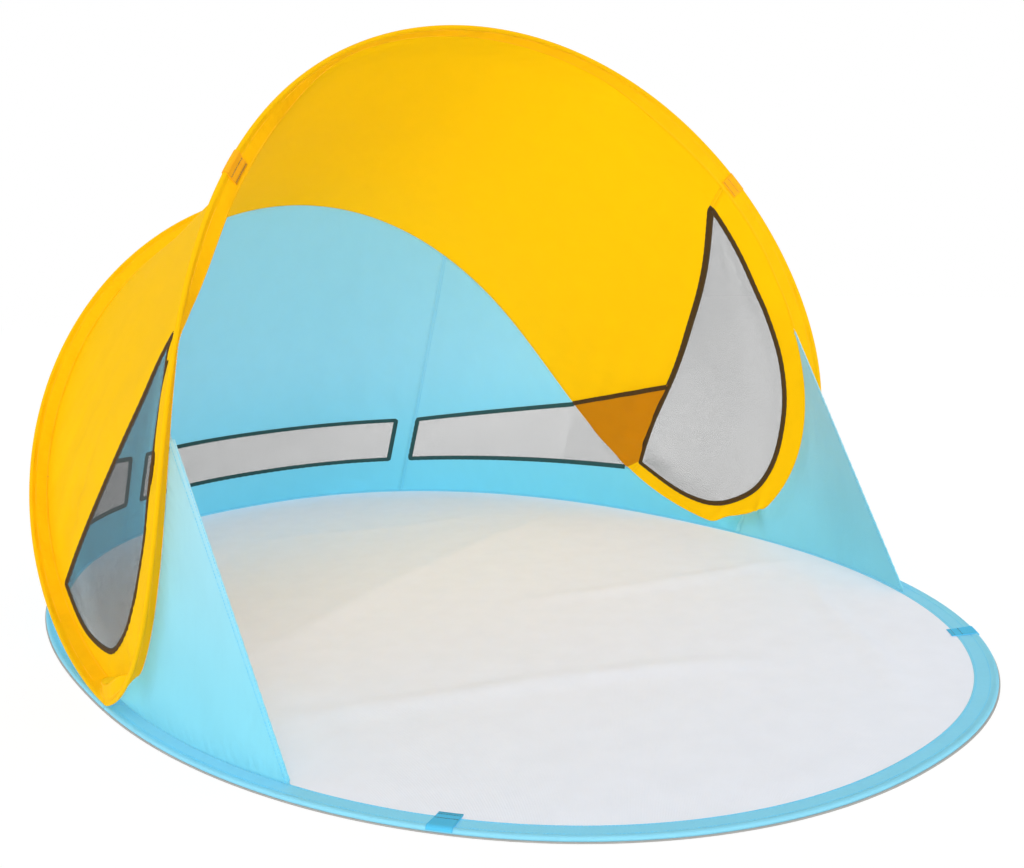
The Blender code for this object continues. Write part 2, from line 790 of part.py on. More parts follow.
def side_lines(window, corner_top):
    """The seams of one side of the canopy, drawn as on the left side."""
    front_edge, rear_edge = window_edges(window)
    ring = front_edge + rear_edge
    corner = len(front_edge)
    widths = [binding_width] * corner + [rear_edge_binding_width] * len(rear_edge)
    cloth, net, cloth_guide, net_guide = ring_sides(ring, canopy, widths, True)
    gap = seam_gap / canopy_scales[0]

    def shifted(line, way):
        return [(a + gap * way, b) for a, b in line]

    top, top_tape = [cloth[0]], [cloth_guide[0]]
    low, low_tape = [cloth[corner]], [cloth_guide[corner]]
    front_start, rear_end = [(roof_front_share, 0.0)], [(roof_rear_share, 1.0)]
    to_window = run(front_start[0], top_tape[0], canopy_scales) + top_tape + top
    to_rear = low + run(low_tape[0], rear_end[0], canopy_scales) + rear_end
    roof_seam = shifted(to_window, 1) + cloth[:corner:-1] + shifted(to_rear, 1)
    roof_guide = shifted(top_tape, 1) + cloth_guide[:corner:-1] + shifted(low_tape, 1)
    net_corner = corner_outline(window, corner_top)
    roof_guides = [roof_guide, net_corner + net_corner[:1]] + corner_tape_edges(corner_top)
    side_seam = shifted(to_window, -1) + cloth[1:corner] + shifted(to_rear, -1)
    side_guide = shifted(top_tape, -1) + cloth_guide[1:corner] + shifted(low_tape, -1)
    return ring, widths, net, net_guide, roof_seam, roof_guides, side_seam, side_guide


def build_canopy():
    low_front, low_rear = (panel_start_share, 0.0), (panel_start_share, 1.0)
    roof_seams, guides = [], []
    for prefix, turn, window, corner_top in canopy_sides:
        ring, widths, net, net_guide, roof_seam, roof_guides, side_seam, side_guide = \
            side_lines(window, corner_top)
        side = side_seam + seam_run(side_seam[-1], low_rear, rear_shares)[1:] + \
            run(low_rear, low_front, canopy_scales, outline_spacing * 3) + \
            seam_run(low_front, side_seam[0], front_shares)
        sheet(prefix + "_canopy_side", [turn(side)], canopy, canopy_scales, yellow_fabric,
              fabric_thickness, [turn(side_guide)], panel_spacing * 0.7)
        sheet(prefix + "_side_window", [turn(net)], canopy, canopy_scales, window_net,
              mesh_thickness, [turn(net_guide + net_guide[:1])])
        sections = binding_sections(turn(ring), canopy, widths, True)
        outward_faces(swept_mesh(prefix + "_side_binding", sections, True, brown_binding))
        roof_seams.append(turn(roof_seam))
        guides += [turn(line) for line in roof_guides]
    here, there = roof_seams[0], roof_seams[1][::-1]
    roof = here + seam_run(here[-1], there[0], rear_shares)[1:] + \
        there + seam_run(there[-1], here[0], front_shares)[1:]
    sheet("canopy_roof", [roof], canopy, canopy_scales, yellow_fabric, fabric_thickness, guides)


def rear_height_shares(heights, share):
    """How far down the wall a height above the floor lies, at a share round the rear arch."""
    top = wall(share, 0.0)[2]
    return (top - heights) / (top - wall_foot_height)


def rear_window_edge(low, flare, shares):
    """A nearly level edge of a rear window that climbs outwards from the wall seam."""
    line = []
    for share in shares:
        out = max(abs(share - 0.5) - (wall_seam_share - 0.5), 0.0) / (wall_end_share - wall_seam_share)
        line.append((share, rear_height_shares(low + flare * out * 2, share)))
    return line


def seam_meeting(low, flare):
    """The share at which a window's edge runs out into the rear arch's seam."""
    shares = spread(wall_seam_share, wall_end_share, 200)
    drops = [drop for _, drop in rear_window_edge(low, flare, shares)]
    return next(share for share, drop in zip(shares, drops) if drop < 0.02)


def build_rear_wall():
    top_height = rear_sill_height + rear_window_height
    start, end = 1 - wall_seam_share, wall_seam_share
    step, window_drop = 0.01, 0.8
    way = wall(end + step, window_drop) - wall(end - step, window_drop)
    size = np.linalg.norm(way) / (2 * step)
    gap = seam_gap / size / 2
    margin = centre_window_margin / size
    inner = spread(start + margin, end - margin, 8)
    ring = rear_window_edge(top_height, 0.0, inner) + \
        rear_window_edge(rear_sill_height, 0.0, inner)[::-1]
    widths = [binding_width] * len(ring)
    hole, net, hole_tape, net_tape = ring_sides(ring, wall, widths, True)
    centre = seam_run((start + gap, 0.0), (end - gap, 0.0), rear_shares) + \
        run((end - gap, 0.0), (end - gap, 1.0), wall_scales) + \
        run((end - gap, 1.0), (start + gap, 1.0), wall_scales) + \
        run((start + gap, 1.0), (start + gap, 0.0), wall_scales)
    sheet("back_wall_centre", [centre, hole], wall, wall_scales, blue_fabric, fabric_thickness,
          [hole_tape + hole_tape[:1]])
    sheet("back_window_centre", [net], wall, wall_scales, window_net, mesh_thickness,
          [net_tape + net_tape[:1]])
    outward_faces(swept_mesh("back_binding_centre", binding_sections(ring, wall, widths, True),
                             True, dark_binding))
    margin = side_window_margin / size
    low_end = seam_meeting(rear_sill_height, rear_sill_flare)
    high_end = seam_meeting(top_height, rear_window_flare)
    lower = rear_window_edge(rear_sill_height, rear_sill_flare, spread(end + margin, low_end, 8))
    upper = rear_window_edge(top_height, rear_window_flare, spread(end + margin, high_end, 7))
    for edge, end_share in ((lower, low_end), (upper, high_end)):
        depth = np.linalg.norm(wall(end_share, 1.0) - wall(end_share, 0.0))
        part = (binding_end_gap + binding_width / 2) / depth / edge[-2][1]
        edge[-1] = (end_share + (edge[-2][0] - end_share) * part, edge[-2][1] * part)
        edge.append((end_share, 0.0))
    line = lower[::-1] + upper
    widths = [binding_width] * len(line)
    cloth, net, cloth_tape, net_tape = ring_sides(line, wall, widths, False)
    side = run((end + gap, 0.0), (end + gap, 1.0), wall_scales) + \
        run((end + gap, 1.0), (wall_end_share, 1.0), wall_scales) + \
        run((wall_end_share, 1.0), (wall_end_share, 0.0), wall_scales) + \
        seam_run((wall_end_share, 0.0), cloth[0], rear_shares) + cloth + \
        seam_run(cloth[-1], (end + gap, 0.0), rear_shares)[1:]
    opening = net + seam_run(net[-1], net[0], rear_shares)[1:]
    for prefix, turn in (("left", mirrored), ("right", list)):
        sheet("back_wall_" + prefix, [turn(side)], wall, wall_scales, blue_fabric,
              fabric_thickness, [turn(cloth_tape)])
        sheet("back_window_" + prefix, [turn(opening)], wall, wall_scales, window_net,
              mesh_thickness, [turn(net_tape)])
        sections = binding_sections(turn(line[1:-1]), wall, widths, False)
        outward_faces(swept_mesh("back_binding_" + prefix, sections, False, dark_binding))


def corner_outline(window, corner_top):
    """The outline of the net corner beside the side window's rear edge."""
    high, low = corner_top
    rear_edge = [p for p in window_edges(window)[1] if p[0] < low[0] + 0.02]
    widths = [rear_edge_binding_width / 2 + stack_gap * 3] * len(rear_edge)
    sides = [beside(rear_edge, canopy, [w * way for w in widths]) for way in (1, -1)]
    inner = max(sides, key=lambda line: line[0][0])
    inner = [p for p in inner if p[1] < high[1] and p[0] < low[0]]
    return inner + run(low, high, canopy_scales) + run(high, (inner[0][0], high[1]), canopy_scales)


def corner_tape_edges(corner_top):
    """The two edges of the tape along the top of the net corner."""
    top = run(corner_top[1], corner_top[0], canopy_scales, outline_spacing / 2)
    return [beside(top, canopy, [way * binding_width / 2] * len(top)) for way in (1, -1)]


def build_corners():
    """The net that carries on from a rear side window, inside the canopy, to the side window."""
    near = fabric_thickness / 2 + stack_gap
    surface = offset_surface(canopy, near + mesh_thickness / 2)
    for prefix, turn, window, corner_top in canopy_sides:
        high, low = corner_top
        loop = corner_outline(window, corner_top)
        sheet(prefix + "_net_corner", [turn(loop)], surface, canopy_scales, orange_patch,
              mesh_thickness, [turn(line) for line in corner_tape_edges(corner_top)], floor_width)
        top = run(low, high, canopy_scales, outline_spacing / 2)
        bottom = near + mesh_thickness + stack_gap * 1.5
        widths = [binding_width] * len(top)
        sections = ribbon_sections(turn(top), canopy, widths, bottom, bottom + binding_thickness)
        outward_faces(swept_mesh(prefix + "_corner_binding", sections, False, brown_binding))


def build_gussets():
    for side, prefix, top_share, foot_share in (
            (-1, "left", left_gusset_top_share, left_gusset_foot_share),
            (1, "right", right_gusset_top_share, right_gusset_foot_share)):
        surface = gusset(side, top_share, foot_share)
        scales = (measured(lambda along: surface(along, 1.0)), measured(lambda drop: surface(1.0, drop)))
        low = gusset_start_share / top_share
        seam = [(s / top_share, 0.0) for s in left_foot_shares + front_top_shares
                if low < s / top_share < 1 - low / 4]
        loop = [(low, 0.0)] + seam + run((1.0, 0.0), (1.0, 1.0), scales) + \
            run((1.0, 1.0), (low, 1.0), scales) + run((low, 1.0), (low, 0.0), scales)
        sheet(prefix + "_entrance_gusset", [loop], surface, scales, blue_fabric,
              fabric_thickness, (), panel_spacing, front_arch_pivot)


def tab_outline(reach):
    """A strap over a floor sleeve: from a distance along its flap, up over the wire, to the outside."""
    low, high = sleeve_radius + stack_gap, sleeve_radius + stack_gap + tab_thickness
    lip = sleeve_edge_height / 2 + stack_gap
    rise = sleeve_slope * max(sleeve_width - reach, 0.0)
    start = [(reach, lip + rise)]
    if reach > sleeve_width:
        start.append((sleeve_width, lip))
    angles = [math.radians(a) for a in (60, 120, 180)]
    inside = start + [(low * math.cos(a), low * math.sin(a)) for a in angles]
    outside = [(high * math.cos(a), high * math.sin(a)) for a in reversed(angles)] + \
        [(a, b + tab_thickness) for a, b in reversed(start)]
    return inside + outside


def build_tabs():
    """Webbing straps for ground pegs, sewn over the floor's sleeve."""
    for prefix, rear, reach, pivot in (("front", False, sleeve_width + tab_overhang, front_floor_pivot),
                                       ("rear", True, rear_tab_reach, None)):
        line = floor_line(rear)
        flap = floor_flap(line)
        for side, share in zip(("left", "right"), tab_places[prefix]):
            sections = along_line(tab_outline(reach), line, flap, tab_shares(line, share))
            rise = sum((top - bottom)[2] for top, bottom in ((s[-1], s[0]) for s in sections))
            if rise < 0:
                turned = [(a, -b) for a, b in tab_outline(reach)]
                sections = along_line(turned, line, flap, tab_shares(line, share))
            outward_faces(swept_mesh(prefix + "_peg_tab_" + side, sections, False, blue_webbing, pivot))


def build_loops():
    """The stitched loops on the front arch, where its sleeve's halves meet."""
    start, end = sleeve_width * 0.25, sleeve_width * 0.25 + loop_depth
    near = sleeve_radius * math.sin(math.radians(60))
    far = sleeve_edge_height / 2
    fall = (near - far) / (sleeve_width - sleeve_radius / 2)
    heights = [near - fall * (d - sleeve_radius / 2) + stack_gap for d in (start, end)]
    outline = [(start, heights[0]), (end, heights[1]), (end, heights[1] + loop_thickness),
               (start, heights[0] + loop_thickness)]
    for prefix, share, sign in (("left", loop_share, -1), ("right", 1 - loop_share, 1)):
        corners = [(a, b * sign) for a, b in outline]
        sections = along_line(corners, front_wire, front_flap, loop_shares(share))
        outward_faces(swept_mesh(prefix + "_arch_loop", sections, False, orange_patch,
                                 front_arch_pivot))


build_floor("front", False, front_floor_pivot)
build_floor("rear", True, None)
build_arches()
build_ferrules()
build_canopy()
build_corners()
build_rear_wall()
build_gussets()
build_tabs()
build_loops()
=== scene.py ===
"""How the pop-up beach tent looks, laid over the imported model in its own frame. Metres."""

import math

import bmesh
import bpy
import numpy as np
from mathutils import Matrix, Vector


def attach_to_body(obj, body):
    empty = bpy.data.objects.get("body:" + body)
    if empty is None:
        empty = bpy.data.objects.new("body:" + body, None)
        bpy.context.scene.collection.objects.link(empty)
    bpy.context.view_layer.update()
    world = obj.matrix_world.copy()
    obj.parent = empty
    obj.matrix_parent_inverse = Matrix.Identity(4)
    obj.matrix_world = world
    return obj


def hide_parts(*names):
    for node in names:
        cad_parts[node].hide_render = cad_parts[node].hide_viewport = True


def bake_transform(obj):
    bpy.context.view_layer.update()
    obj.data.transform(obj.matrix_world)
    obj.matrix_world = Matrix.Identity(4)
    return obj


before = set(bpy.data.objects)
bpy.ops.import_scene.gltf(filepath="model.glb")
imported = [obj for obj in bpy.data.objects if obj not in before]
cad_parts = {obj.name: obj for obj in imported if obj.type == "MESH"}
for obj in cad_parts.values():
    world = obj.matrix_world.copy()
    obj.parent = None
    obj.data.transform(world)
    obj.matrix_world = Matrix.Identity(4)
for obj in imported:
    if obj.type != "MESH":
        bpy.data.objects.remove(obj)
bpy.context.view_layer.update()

up = np.array((0.0, 0.0, 1.0))

# Shape of the floor and of the two arches, as in the model
length, width, widest_y, fold_y = 1.900, 1.380, -0.063, -0.117
front_power, rear_power = 2.16, 2.23
sleeve_radius, sleeve_width, flap_gap = 0.0035, 0.0275, 0.0009
sleeve_edge = 0.0020
net_thickness = 0.00016
seam_inset = sleeve_radius + sleeve_width
foot_height = 3 * sleeve_radius + 0.0003
foot_z = 0.0034
front_shape = (0.968, 0.086, 1.262, (-1.082, 1.600, -0.564))
rear_shape = (0.762, 0.129, 2.342, (0.881, 0.485, -0.488))
foot_share = 0.0012
canopy_sag, wall_sag = 0.012, 0.010
# How far the front sleeve's flap turns inwards at the shoulders, and the shares where it starts and ends
shoulder_turn = 2.4
shoulder_start_shares, shoulder_end_shares = (0.205, 0.268), (0.29, 0.42)

# Steel wire in the sleeves, and the share where wires and sleeves start and end at the feet
wire_radius = 0.0015
sleeve_end, floor_sleeve_end = 0.0003, 0.0002

# Tapes: width, and half the thickness with the cloth between their faces
binding_width, rear_edge_binding_width = 0.011, 0.014
side_binding_half, back_binding_half, corner_binding_half = 0.0016, 0.0013, 0.0008
seam_tape_width, seam_tape_half = 0.007, 0.0008
gusset_hem_width, gusset_hem_half = 0.009, 0.0009

# Stitches along a seam, shorter ones on webbing and patches, and the thread
stitch_pitch, stitch_length = 0.0042, 0.0028
short_pitch, short_length = 0.003, 0.002
thread_radius, stitch_seed = 0.00036, 3

# Windows; the tops of the side windows aren't quite where the model has them
sill, window_height, flare, sill_flare = 0.097, 0.110, 0.042, 0.006
wall_seam, wall_end = 0.6226, 0.949
centre_margin, side_margin = 0.0171, 0.0025
# Each side window: its top, the front edge going down, the rear corner, the rear edge from the top
window_shapes = {
    "left": ((0.2215, 0.0880),
             ((0.2040, 0.0660), (0.1790, 0.0930), (0.1500, 0.1380), (0.1185, 0.1850),
              (0.0880, 0.3000), (0.0690, 0.4600), (0.0610, 0.7200), (0.0850, 0.9180)),
             (0.1340, 0.9600),
             ((0.2055, 0.1780), (0.1880, 0.3650), (0.1714, 0.5450), (0.1530, 0.7500))),
    "right": ((0.2925, 0.062),
              ((0.2470, 0.0700), (0.2050, 0.0740), (0.1640, 0.0790), (0.1230, 0.1090),
               (0.0794, 0.1860), (0.0590, 0.3400), (0.0570, 0.6700), (0.0800, 0.8480)),
              (0.1380, 0.9200),
              ((0.2540, 0.2020), (0.2250, 0.3380), (0.1965, 0.5010), (0.1670, 0.7180)))}
corner_tops = {"left": ((0.204, 0.995), (0.1770, 0.555)), "right": ((0.2153, 0.995), (0.1900, 0.575))}
gusset_tops = {"left": 0.166, "right": 0.186}
gusset_feet = {"left": 0.163, "right": 0.210}
gusset_start = 0.005
sides = ((-1, "left"), (1, "right"))
roof_front, roof_rear = 0.300, 0.133


def unit(v):
    return v / np.maximum(np.linalg.norm(v, axis=-1, keepdims=True), 1e-12)


def smooth(low, high, x):
    t = np.clip((np.asarray(x, float) - low) / (high - low), 0, 1)
    return t * t * (3 - 2 * t)


def outline(turn, inset):
    """Points of the floor's outline, inset along its normals; turn goes once round from the right."""
    c, s = np.cos(2 * np.pi * turn), np.sin(2 * np.pi * turn)
    rear = s >= 0
    power = np.where(rear, rear_power, front_power)
    depth = np.where(rear, length / 2 - widest_y, length / 2 + widest_y)
    a = np.sign(c) * np.abs(c) ** (2 / power)
    b = np.sign(s) * np.abs(s) ** (2 / power)
    n = unit(np.stack((np.sign(a) * np.abs(a) ** (power - 1) / (width / 2),
                       np.sign(b) * np.abs(b) ** (power - 1) / depth), -1))
    xy = np.stack((width / 2 * a, widest_y + depth * b), -1) - inset * n
    return np.concatenate((xy, np.zeros(xy.shape[:-1] + (1,))), -1)


class Edge:
    """The floor's edge from the left foot to the right, by the front or the rear, read by share."""

    def __init__(self, rear, inset, height=0.0):
        first = -0.25 if rear else 0.25
        points = outline(np.linspace(first, first + 1, 4001) % 1.0, inset)
        points = points[points[:, 1] > fold_y if rear else points[:, 1] < fold_y]
        if points[0, 0] > 0:
            points = points[::-1]
        ends = points[[0, -1]].copy()
        ends[:, 1] = fold_y
        points = np.concatenate((ends[:1], points, ends[1:])) + up * height
        steps = np.linalg.norm(np.diff(points, axis=0), axis=1)
        self.points, self.length = points, steps.sum()
        self.shares = np.concatenate(((0.0,), np.cumsum(steps))) / self.length

    def at(self, share):
        share = np.asarray(share, float)
        return np.stack([np.interp(share, self.shares, self.points[:, k]) for k in range(3)], -1)


foot_half_span = float(Edge(False, sleeve_radius).points[-1][0])


def arch(share, shape):
    height, fullness, power, leans = shape
    angle = np.pi * np.asarray(share, float)
    swell = np.clip(np.sin(angle), 0, None)
    x = -foot_half_span * ((1 + fullness) * np.cos(angle) - fullness * np.cos(3 * angle))
    y = fold_y + height * sum(c * swell ** (n + 1) for n, c in enumerate(leans))
    z = foot_height + (height - foot_height) * swell ** power
    return np.stack((x, y, z), -1)


def front_wire(s):
    return arch(s, front_shape)


def rear_wire(s):
    return arch(s, rear_shape)


def side_share(s):
    s = np.asarray(s, float)
    return np.minimum(s, 1 - s)


def foot_blend(s):
    return (1 - smooth(0.004, 0.035, side_share(s)))[..., None]


def legs(s):
    return (1 - smooth(0.10, 0.34, side_share(s)))[..., None]


def heading(line, s):
    s = np.asarray(s, float)
    true = unit(line(np.clip(s + 0.002, 0, 1)) - line(np.clip(s - 0.002, 0, 1)))
    level = unit(true * (1.0, 1.0, 0.0))
    blend = foot_blend(s)
    return unit(true * (1 - blend) + level * blend)


def square_to(v, axis):
    return unit(v - axis * (v * axis).sum(-1, keepdims=True))


def inwards_x(s, size):
    s = np.asarray(s, float)
    return np.stack((np.where(s < 0.5, size, -size), 0 * s, 0 * s), -1)


def front_flap(s):
    s = np.clip(s, 0.001, 0.999)
    low = foot_blend(s)
    pull = unit(rear_wire(s) - front_wire(s)) + inwards_x(s, 0.75) * legs(s) * (1 - low)
    share = side_share(s)[..., None]
    turned = smooth(*shoulder_start_shares, share) * (1 - smooth(*shoulder_end_shares, share))
    pull = pull + inwards_x(s, shoulder_turn) * turned
    return square_to(pull * (1 - low) + up * low, heading(front_wire, s))


def rear_flap(s):
    s = np.clip(s, 0.001, 0.999)
    low = foot_blend(s)
    pull = unit(front_wire(s) - rear_wire(s)) * (1 - 0.7 * legs(s))
    pull = pull - up * 2.2 * smooth(0.05, 0.30, side_share(s))[..., None] + inwards_x(s, 1.6) * legs(s)
    return square_to(pull * (1 - low) + up * low, heading(rear_wire, s))


def front_seam(s):
    return front_wire(s) + front_flap(s) * (sleeve_width + flap_gap * 0.5)


def rear_seam(s):
    return rear_wire(s) + rear_flap(s) * (sleeve_width + flap_gap * 0.5)


def canopy(s, v):
    """The canopy at share s round the arches and depth v from the front seam to the rear one."""
    s, v = np.broadcast_arrays(np.asarray(s, float), np.asarray(v, float))
    front, rear = front_seam(s), rear_seam(s)
    v = v[..., None]
    point = front + (rear - front) * v
    inner = np.stack((0 * s, point[..., 1], 0 * s + rear_shape[0] / 2), -1)
    hollow = canopy_sag * 4 * v * (1 - v) * np.sin(np.pi * s)[..., None]
    return point + unit(inner - point) * hollow


rear_foot = Edge(True, seam_inset - 0.003, foot_z)
front_foot = Edge(False, seam_inset - 0.003, foot_z)


def wall_foot_share(s):
    side = np.abs(2 * s - 1)
    return 0.5 + np.sign(s - 0.5) * 0.5 * side ** 0.88


def wall(s, drop):
    """The rear wall at share s round the rear arch and drop from its seam to the floor."""
    s, drop = np.broadcast_arrays(np.asarray(s, float), np.asarray(drop, float))
    foot = rear_foot.at(wall_foot_share(s))
    top = rear_seam(s)
    inner = unit(np.array((0.0, fold_y, 0.0)) - foot * (1.0, 1.0, 0.0))
    drop = drop[..., None]
    return top + (foot - top) * drop + inner * wall_sag * 4 * drop * (1 - drop) * np.sin(np.pi * s)[..., None]


def gusset(side, word):
    def surface(along, drop):
        along, drop = np.broadcast_arrays(np.asarray(along, float), np.asarray(drop, float))
        s, e = gusset_tops[word] * along, gusset_feet[word] * along ** 0.85
        if side > 0:
            s, e = 1 - s, 1 - e
        flap = front_flap(s)
        across = np.cross(flap, heading(front_wire, s))
        top = front_seam(s) + across * 0.0014
        return top + (front_foot.at(e) - top) * drop[..., None]
    return surface


def srgb(code):
    """An sRGB hex colour as linear values."""
    values = [int(code[n:n + 2], 16) / 255 for n in (1, 3, 5)]
    return [v / 12.92 if v <= 0.04045 else ((v + 0.055) / 1.055) ** 2.4 for v in values]


def add_node(tree, kind, inputs=None, family="ShaderNode", **settings):
    """One node with its settings; its inputs are values, or sockets that feed it."""
    node = tree.nodes.new(family + kind)
    for key, value in settings.items():
        setattr(node, key, value)
    for key, value in (inputs or {}).items():
        if isinstance(value, bpy.types.NodeSocket):
            tree.links.new(value, node.inputs[key])
        else:
            node.inputs[key].default_value = value
    return node


def new_material(name, colour, roughness, metallic=0.0, gloss=0.5):
    """A plain material, with its tree and shader for those that need more."""
    mat = bpy.data.materials.new(name)
    mat.use_nodes = True
    shader = mat.node_tree.nodes["Principled BSDF"]
    shader.inputs["Base Color"].default_value = (*srgb(colour), 1)
    shader.inputs["Roughness"].default_value = roughness
    shader.inputs["Metallic"].default_value = metallic
    shader.inputs["Specular IOR Level"].default_value = gloss
    return mat, mat.node_tree, shader


def woven(tree, pitch):
    """The piece's own UVs, which are in metres, and the ridges of warp and weft at a pitch."""
    uv = add_node(tree, "UVMap", uv_map="UVMap").outputs[0]
    split = add_node(tree, "SeparateXYZ", {0: uv})
    ridges = []
    for axis in (0, 1):
        turns = add_node(tree, "Math", {0: split.outputs[axis], 1: 2 * math.pi / pitch}, operation="MULTIPLY")
        ridges.append(add_node(tree, "Math", {0: turns.outputs[0]}, operation="SINE").outputs[0])
    return uv, ridges


def cloth_normal(tree, uv, ridges, crease, strength, depth):
    """Bumps of the weave, with soft creases of a given size in metres over it."""
    noise = add_node(tree, "TexNoise", {"Vector": uv, "Scale": 1 / crease, "Detail": 4.0})
    soft = add_node(tree, "Bump", {"Height": noise.outputs["Fac"], "Strength": strength,
                                   "Distance": crease * 0.08})
    height = add_node(tree, "Math", {0: ridges[0], 1: ridges[1]}, operation="MULTIPLY")
    fine = add_node(tree, "Bump", {"Height": height.outputs[0], "Normal": soft.outputs[0],
                                   "Strength": 0.6, "Distance": depth})
    return noise.outputs["Fac"], fine.outputs[0]


def cloth_material(name, colour, through_colour, sheer, pitch=0.0009, shaded_low_colour=None):
    """Coated taffeta: dull woven face, and a share of light that comes through it."""
    mat, tree, shader = new_material(name, colour, 0.7, gloss=0.08)
    uv, ridges = woven(tree, pitch)
    noise, normal = cloth_normal(tree, uv, ridges, 0.045, 0.35, pitch * 0.12)
    full = (*srgb(colour), 1)
    # Painted light: the colour runs from a darker low colour at the ground up to the full colour at 0.42 m,
    # painted shade low down
    if shaded_low_colour:
        place = add_node(tree, "TexCoord").outputs["Object"]
        height = add_node(tree, "SeparateXYZ", {0: place}).outputs["Z"]
        share = add_node(tree, "MapRange", {"Value": height, "From Max": 0.42},
                         interpolation_type="SMOOTHSTEP").outputs["Result"]
        full = add_node(tree, "Mix", {"Factor": share, "A": (*srgb(shaded_low_colour), 1), "B": full},
                        data_type="RGBA").outputs["Result"]
    worn = add_node(tree, "Mix", {"Factor": 0.07, "A": full, "B": (0, 0, 0, 1)}, data_type="RGBA")
    mottle = add_node(tree, "Mix", {"Factor": noise, "A": full, "B": worn.outputs["Result"]},
                      data_type="RGBA")
    tree.links.new(mottle.outputs["Result"], shader.inputs["Base Color"])
    tree.links.new(normal, shader.inputs["Normal"])
    through = add_node(tree, "BsdfTranslucent", {"Color": (*srgb(through_colour), 1), "Normal": normal})
    mix = add_node(tree, "MixShader", {"Fac": sheer, 1: shader.outputs[0], 2: through.outputs[0]})
    tree.links.new(mix.outputs[0], tree.nodes["Material Output"].inputs["Surface"])
    return mat


def net_material(name, colour, cover, pitch):
    """Mosquito net: dark threads with real holes between them."""
    mat, tree, shader = new_material(name, colour, 0.7)
    uv, ridges = woven(tree, pitch)
    threads = add_node(tree, "Math", {0: ridges[0], 1: ridges[1]}, operation="MAXIMUM")
    edge = math.cos(math.pi * (1 - math.sqrt(1 - cover)))
    solid = add_node(tree, "Math", {0: threads.outputs[0], 1: edge}, operation="GREATER_THAN")
    clear = add_node(tree, "BsdfTransparent")
    mix = add_node(tree, "MixShader", {"Fac": solid.outputs[0], 1: clear.outputs[0], 2: shader.outputs[0]})
    tree.links.new(mix.outputs[0], tree.nodes["Material Output"].inputs["Surface"])
    return mat


def tape_material(name, colour, pitch=0.0012):
    """Edge tape and webbing: matt, with fine cross ribs."""
    mat, tree, shader = new_material(name, colour, 0.8, gloss=0.2)
    uv, ridges = woven(tree, pitch)
    normal = cloth_normal(tree, uv, ridges, 0.02, 0.2, pitch * 0.25)[1]
    tree.links.new(normal, shader.inputs["Normal"])
    return mat


# Polyester taffeta: a tight dull weave, drawn at 0.9 mm to show; the sun behind it makes it glow
yellow = cloth_material("yellow polyester taffeta", "#EDC600", "#EDC400", 0.34)
# The sleeves are the yellow taffeta with a deeper orange colour: painted shade, for the shaded side of their
# tubes
shaded_yellow_sleeve = cloth_material("yellow polyester sleeve", "#F0BE04", "#EEBA00", 0.28)
# The blue cloth is painted paler with height and darker low down, painted light for where more light comes
# through it
blue = cloth_material("light blue polyester taffeta", "#98D4E4", "#98D6EC", 0.34, shaded_low_colour="#74CADC")
blue_front = cloth_material("light blue entrance taffeta", "#AED4DC", "#A2D6E2", 0.34, shaded_low_colour="#88D2E2")
blue_sleeve = cloth_material("blue polyester sleeve", "#86CCE2", "#70CAEA", 0.15)
# Woven polyethylene: a coarse flat weave, almost without any light through it
# Its pale grey is painted a little blue, a painted cool tint that offsets the yellow light the canopy bounces
# onto it
floor_cloth = cloth_material("pale grey polyethylene tarpaulin", "#DDE3EE", "#DCDCE0", 0.05, 0.0024)
# A grey darker than the floor's, for the strip along the ground under the floor's sleeves
grey_ground_strip = tape_material("grey strip under the floor sleeve", "#A4A29E")
# Knitted polyester net: dark threads with open holes, which read as grey against light
window_net = net_material("dark polyester mosquito net", "#2A3032", 0.37, 0.0011)
# Net over yellow cloth: the two together look amber
amber_net = cloth_material("amber net over yellow taffeta", "#C68204", "#C48000", 0.20, 0.0014)
# Woven binding tape and webbing: matt, ribbed
teal_tape = tape_material("dark teal binding tape", "#244A4C")
brown_tape = tape_material("dark brown binding tape", "#46300C")
blue_tape = tape_material("light blue webbing", "#4CB4DE")
orange_tape = tape_material("deep yellow stitched patch", "#EEA206")
# Spun polyester thread: soft, no shine
yellow_thread = new_material("yellow sewing thread", "#E9B400", 0.7)[0]
blue_thread = new_material("blue sewing thread", "#58B8DC", 0.7)[0]
dark_thread = new_material("dark sewing thread", "#2C3A34", 0.7)[0]
# Drawn spring steel: bright bare metal with fine drawing marks
wire_steel = new_material("drawn spring steel wire", "#B8BABD", 0.32, 1.0)[0]
for name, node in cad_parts.items():
    if "wire" in name or "ferrule" in name:
        node.data.materials.clear()
        node.data.materials.append(wire_steel)


def grid_faces(rows, columns, closed=False):
    across = columns if closed else columns - 1
    r, c = np.meshgrid(np.arange(rows - 1), np.arange(across), indexing="ij")
    nxt = (c + 1) % columns
    return np.stack((r * columns + c, r * columns + nxt, (r + 1) * columns + nxt,
                     (r + 1) * columns + c), -1).reshape(-1, 4)


def new_object(name, data):
    """An object of some data, linked to the scene."""
    made = bpy.data.objects.new(name, data)
    bpy.context.scene.collection.objects.link(made)
    return made


def apply_modifiers(piece):
    graph = bpy.context.evaluated_depsgraph_get()
    made = bpy.data.meshes.new_from_object(piece.evaluated_get(graph))
    piece.modifiers.clear()
    piece.data = made


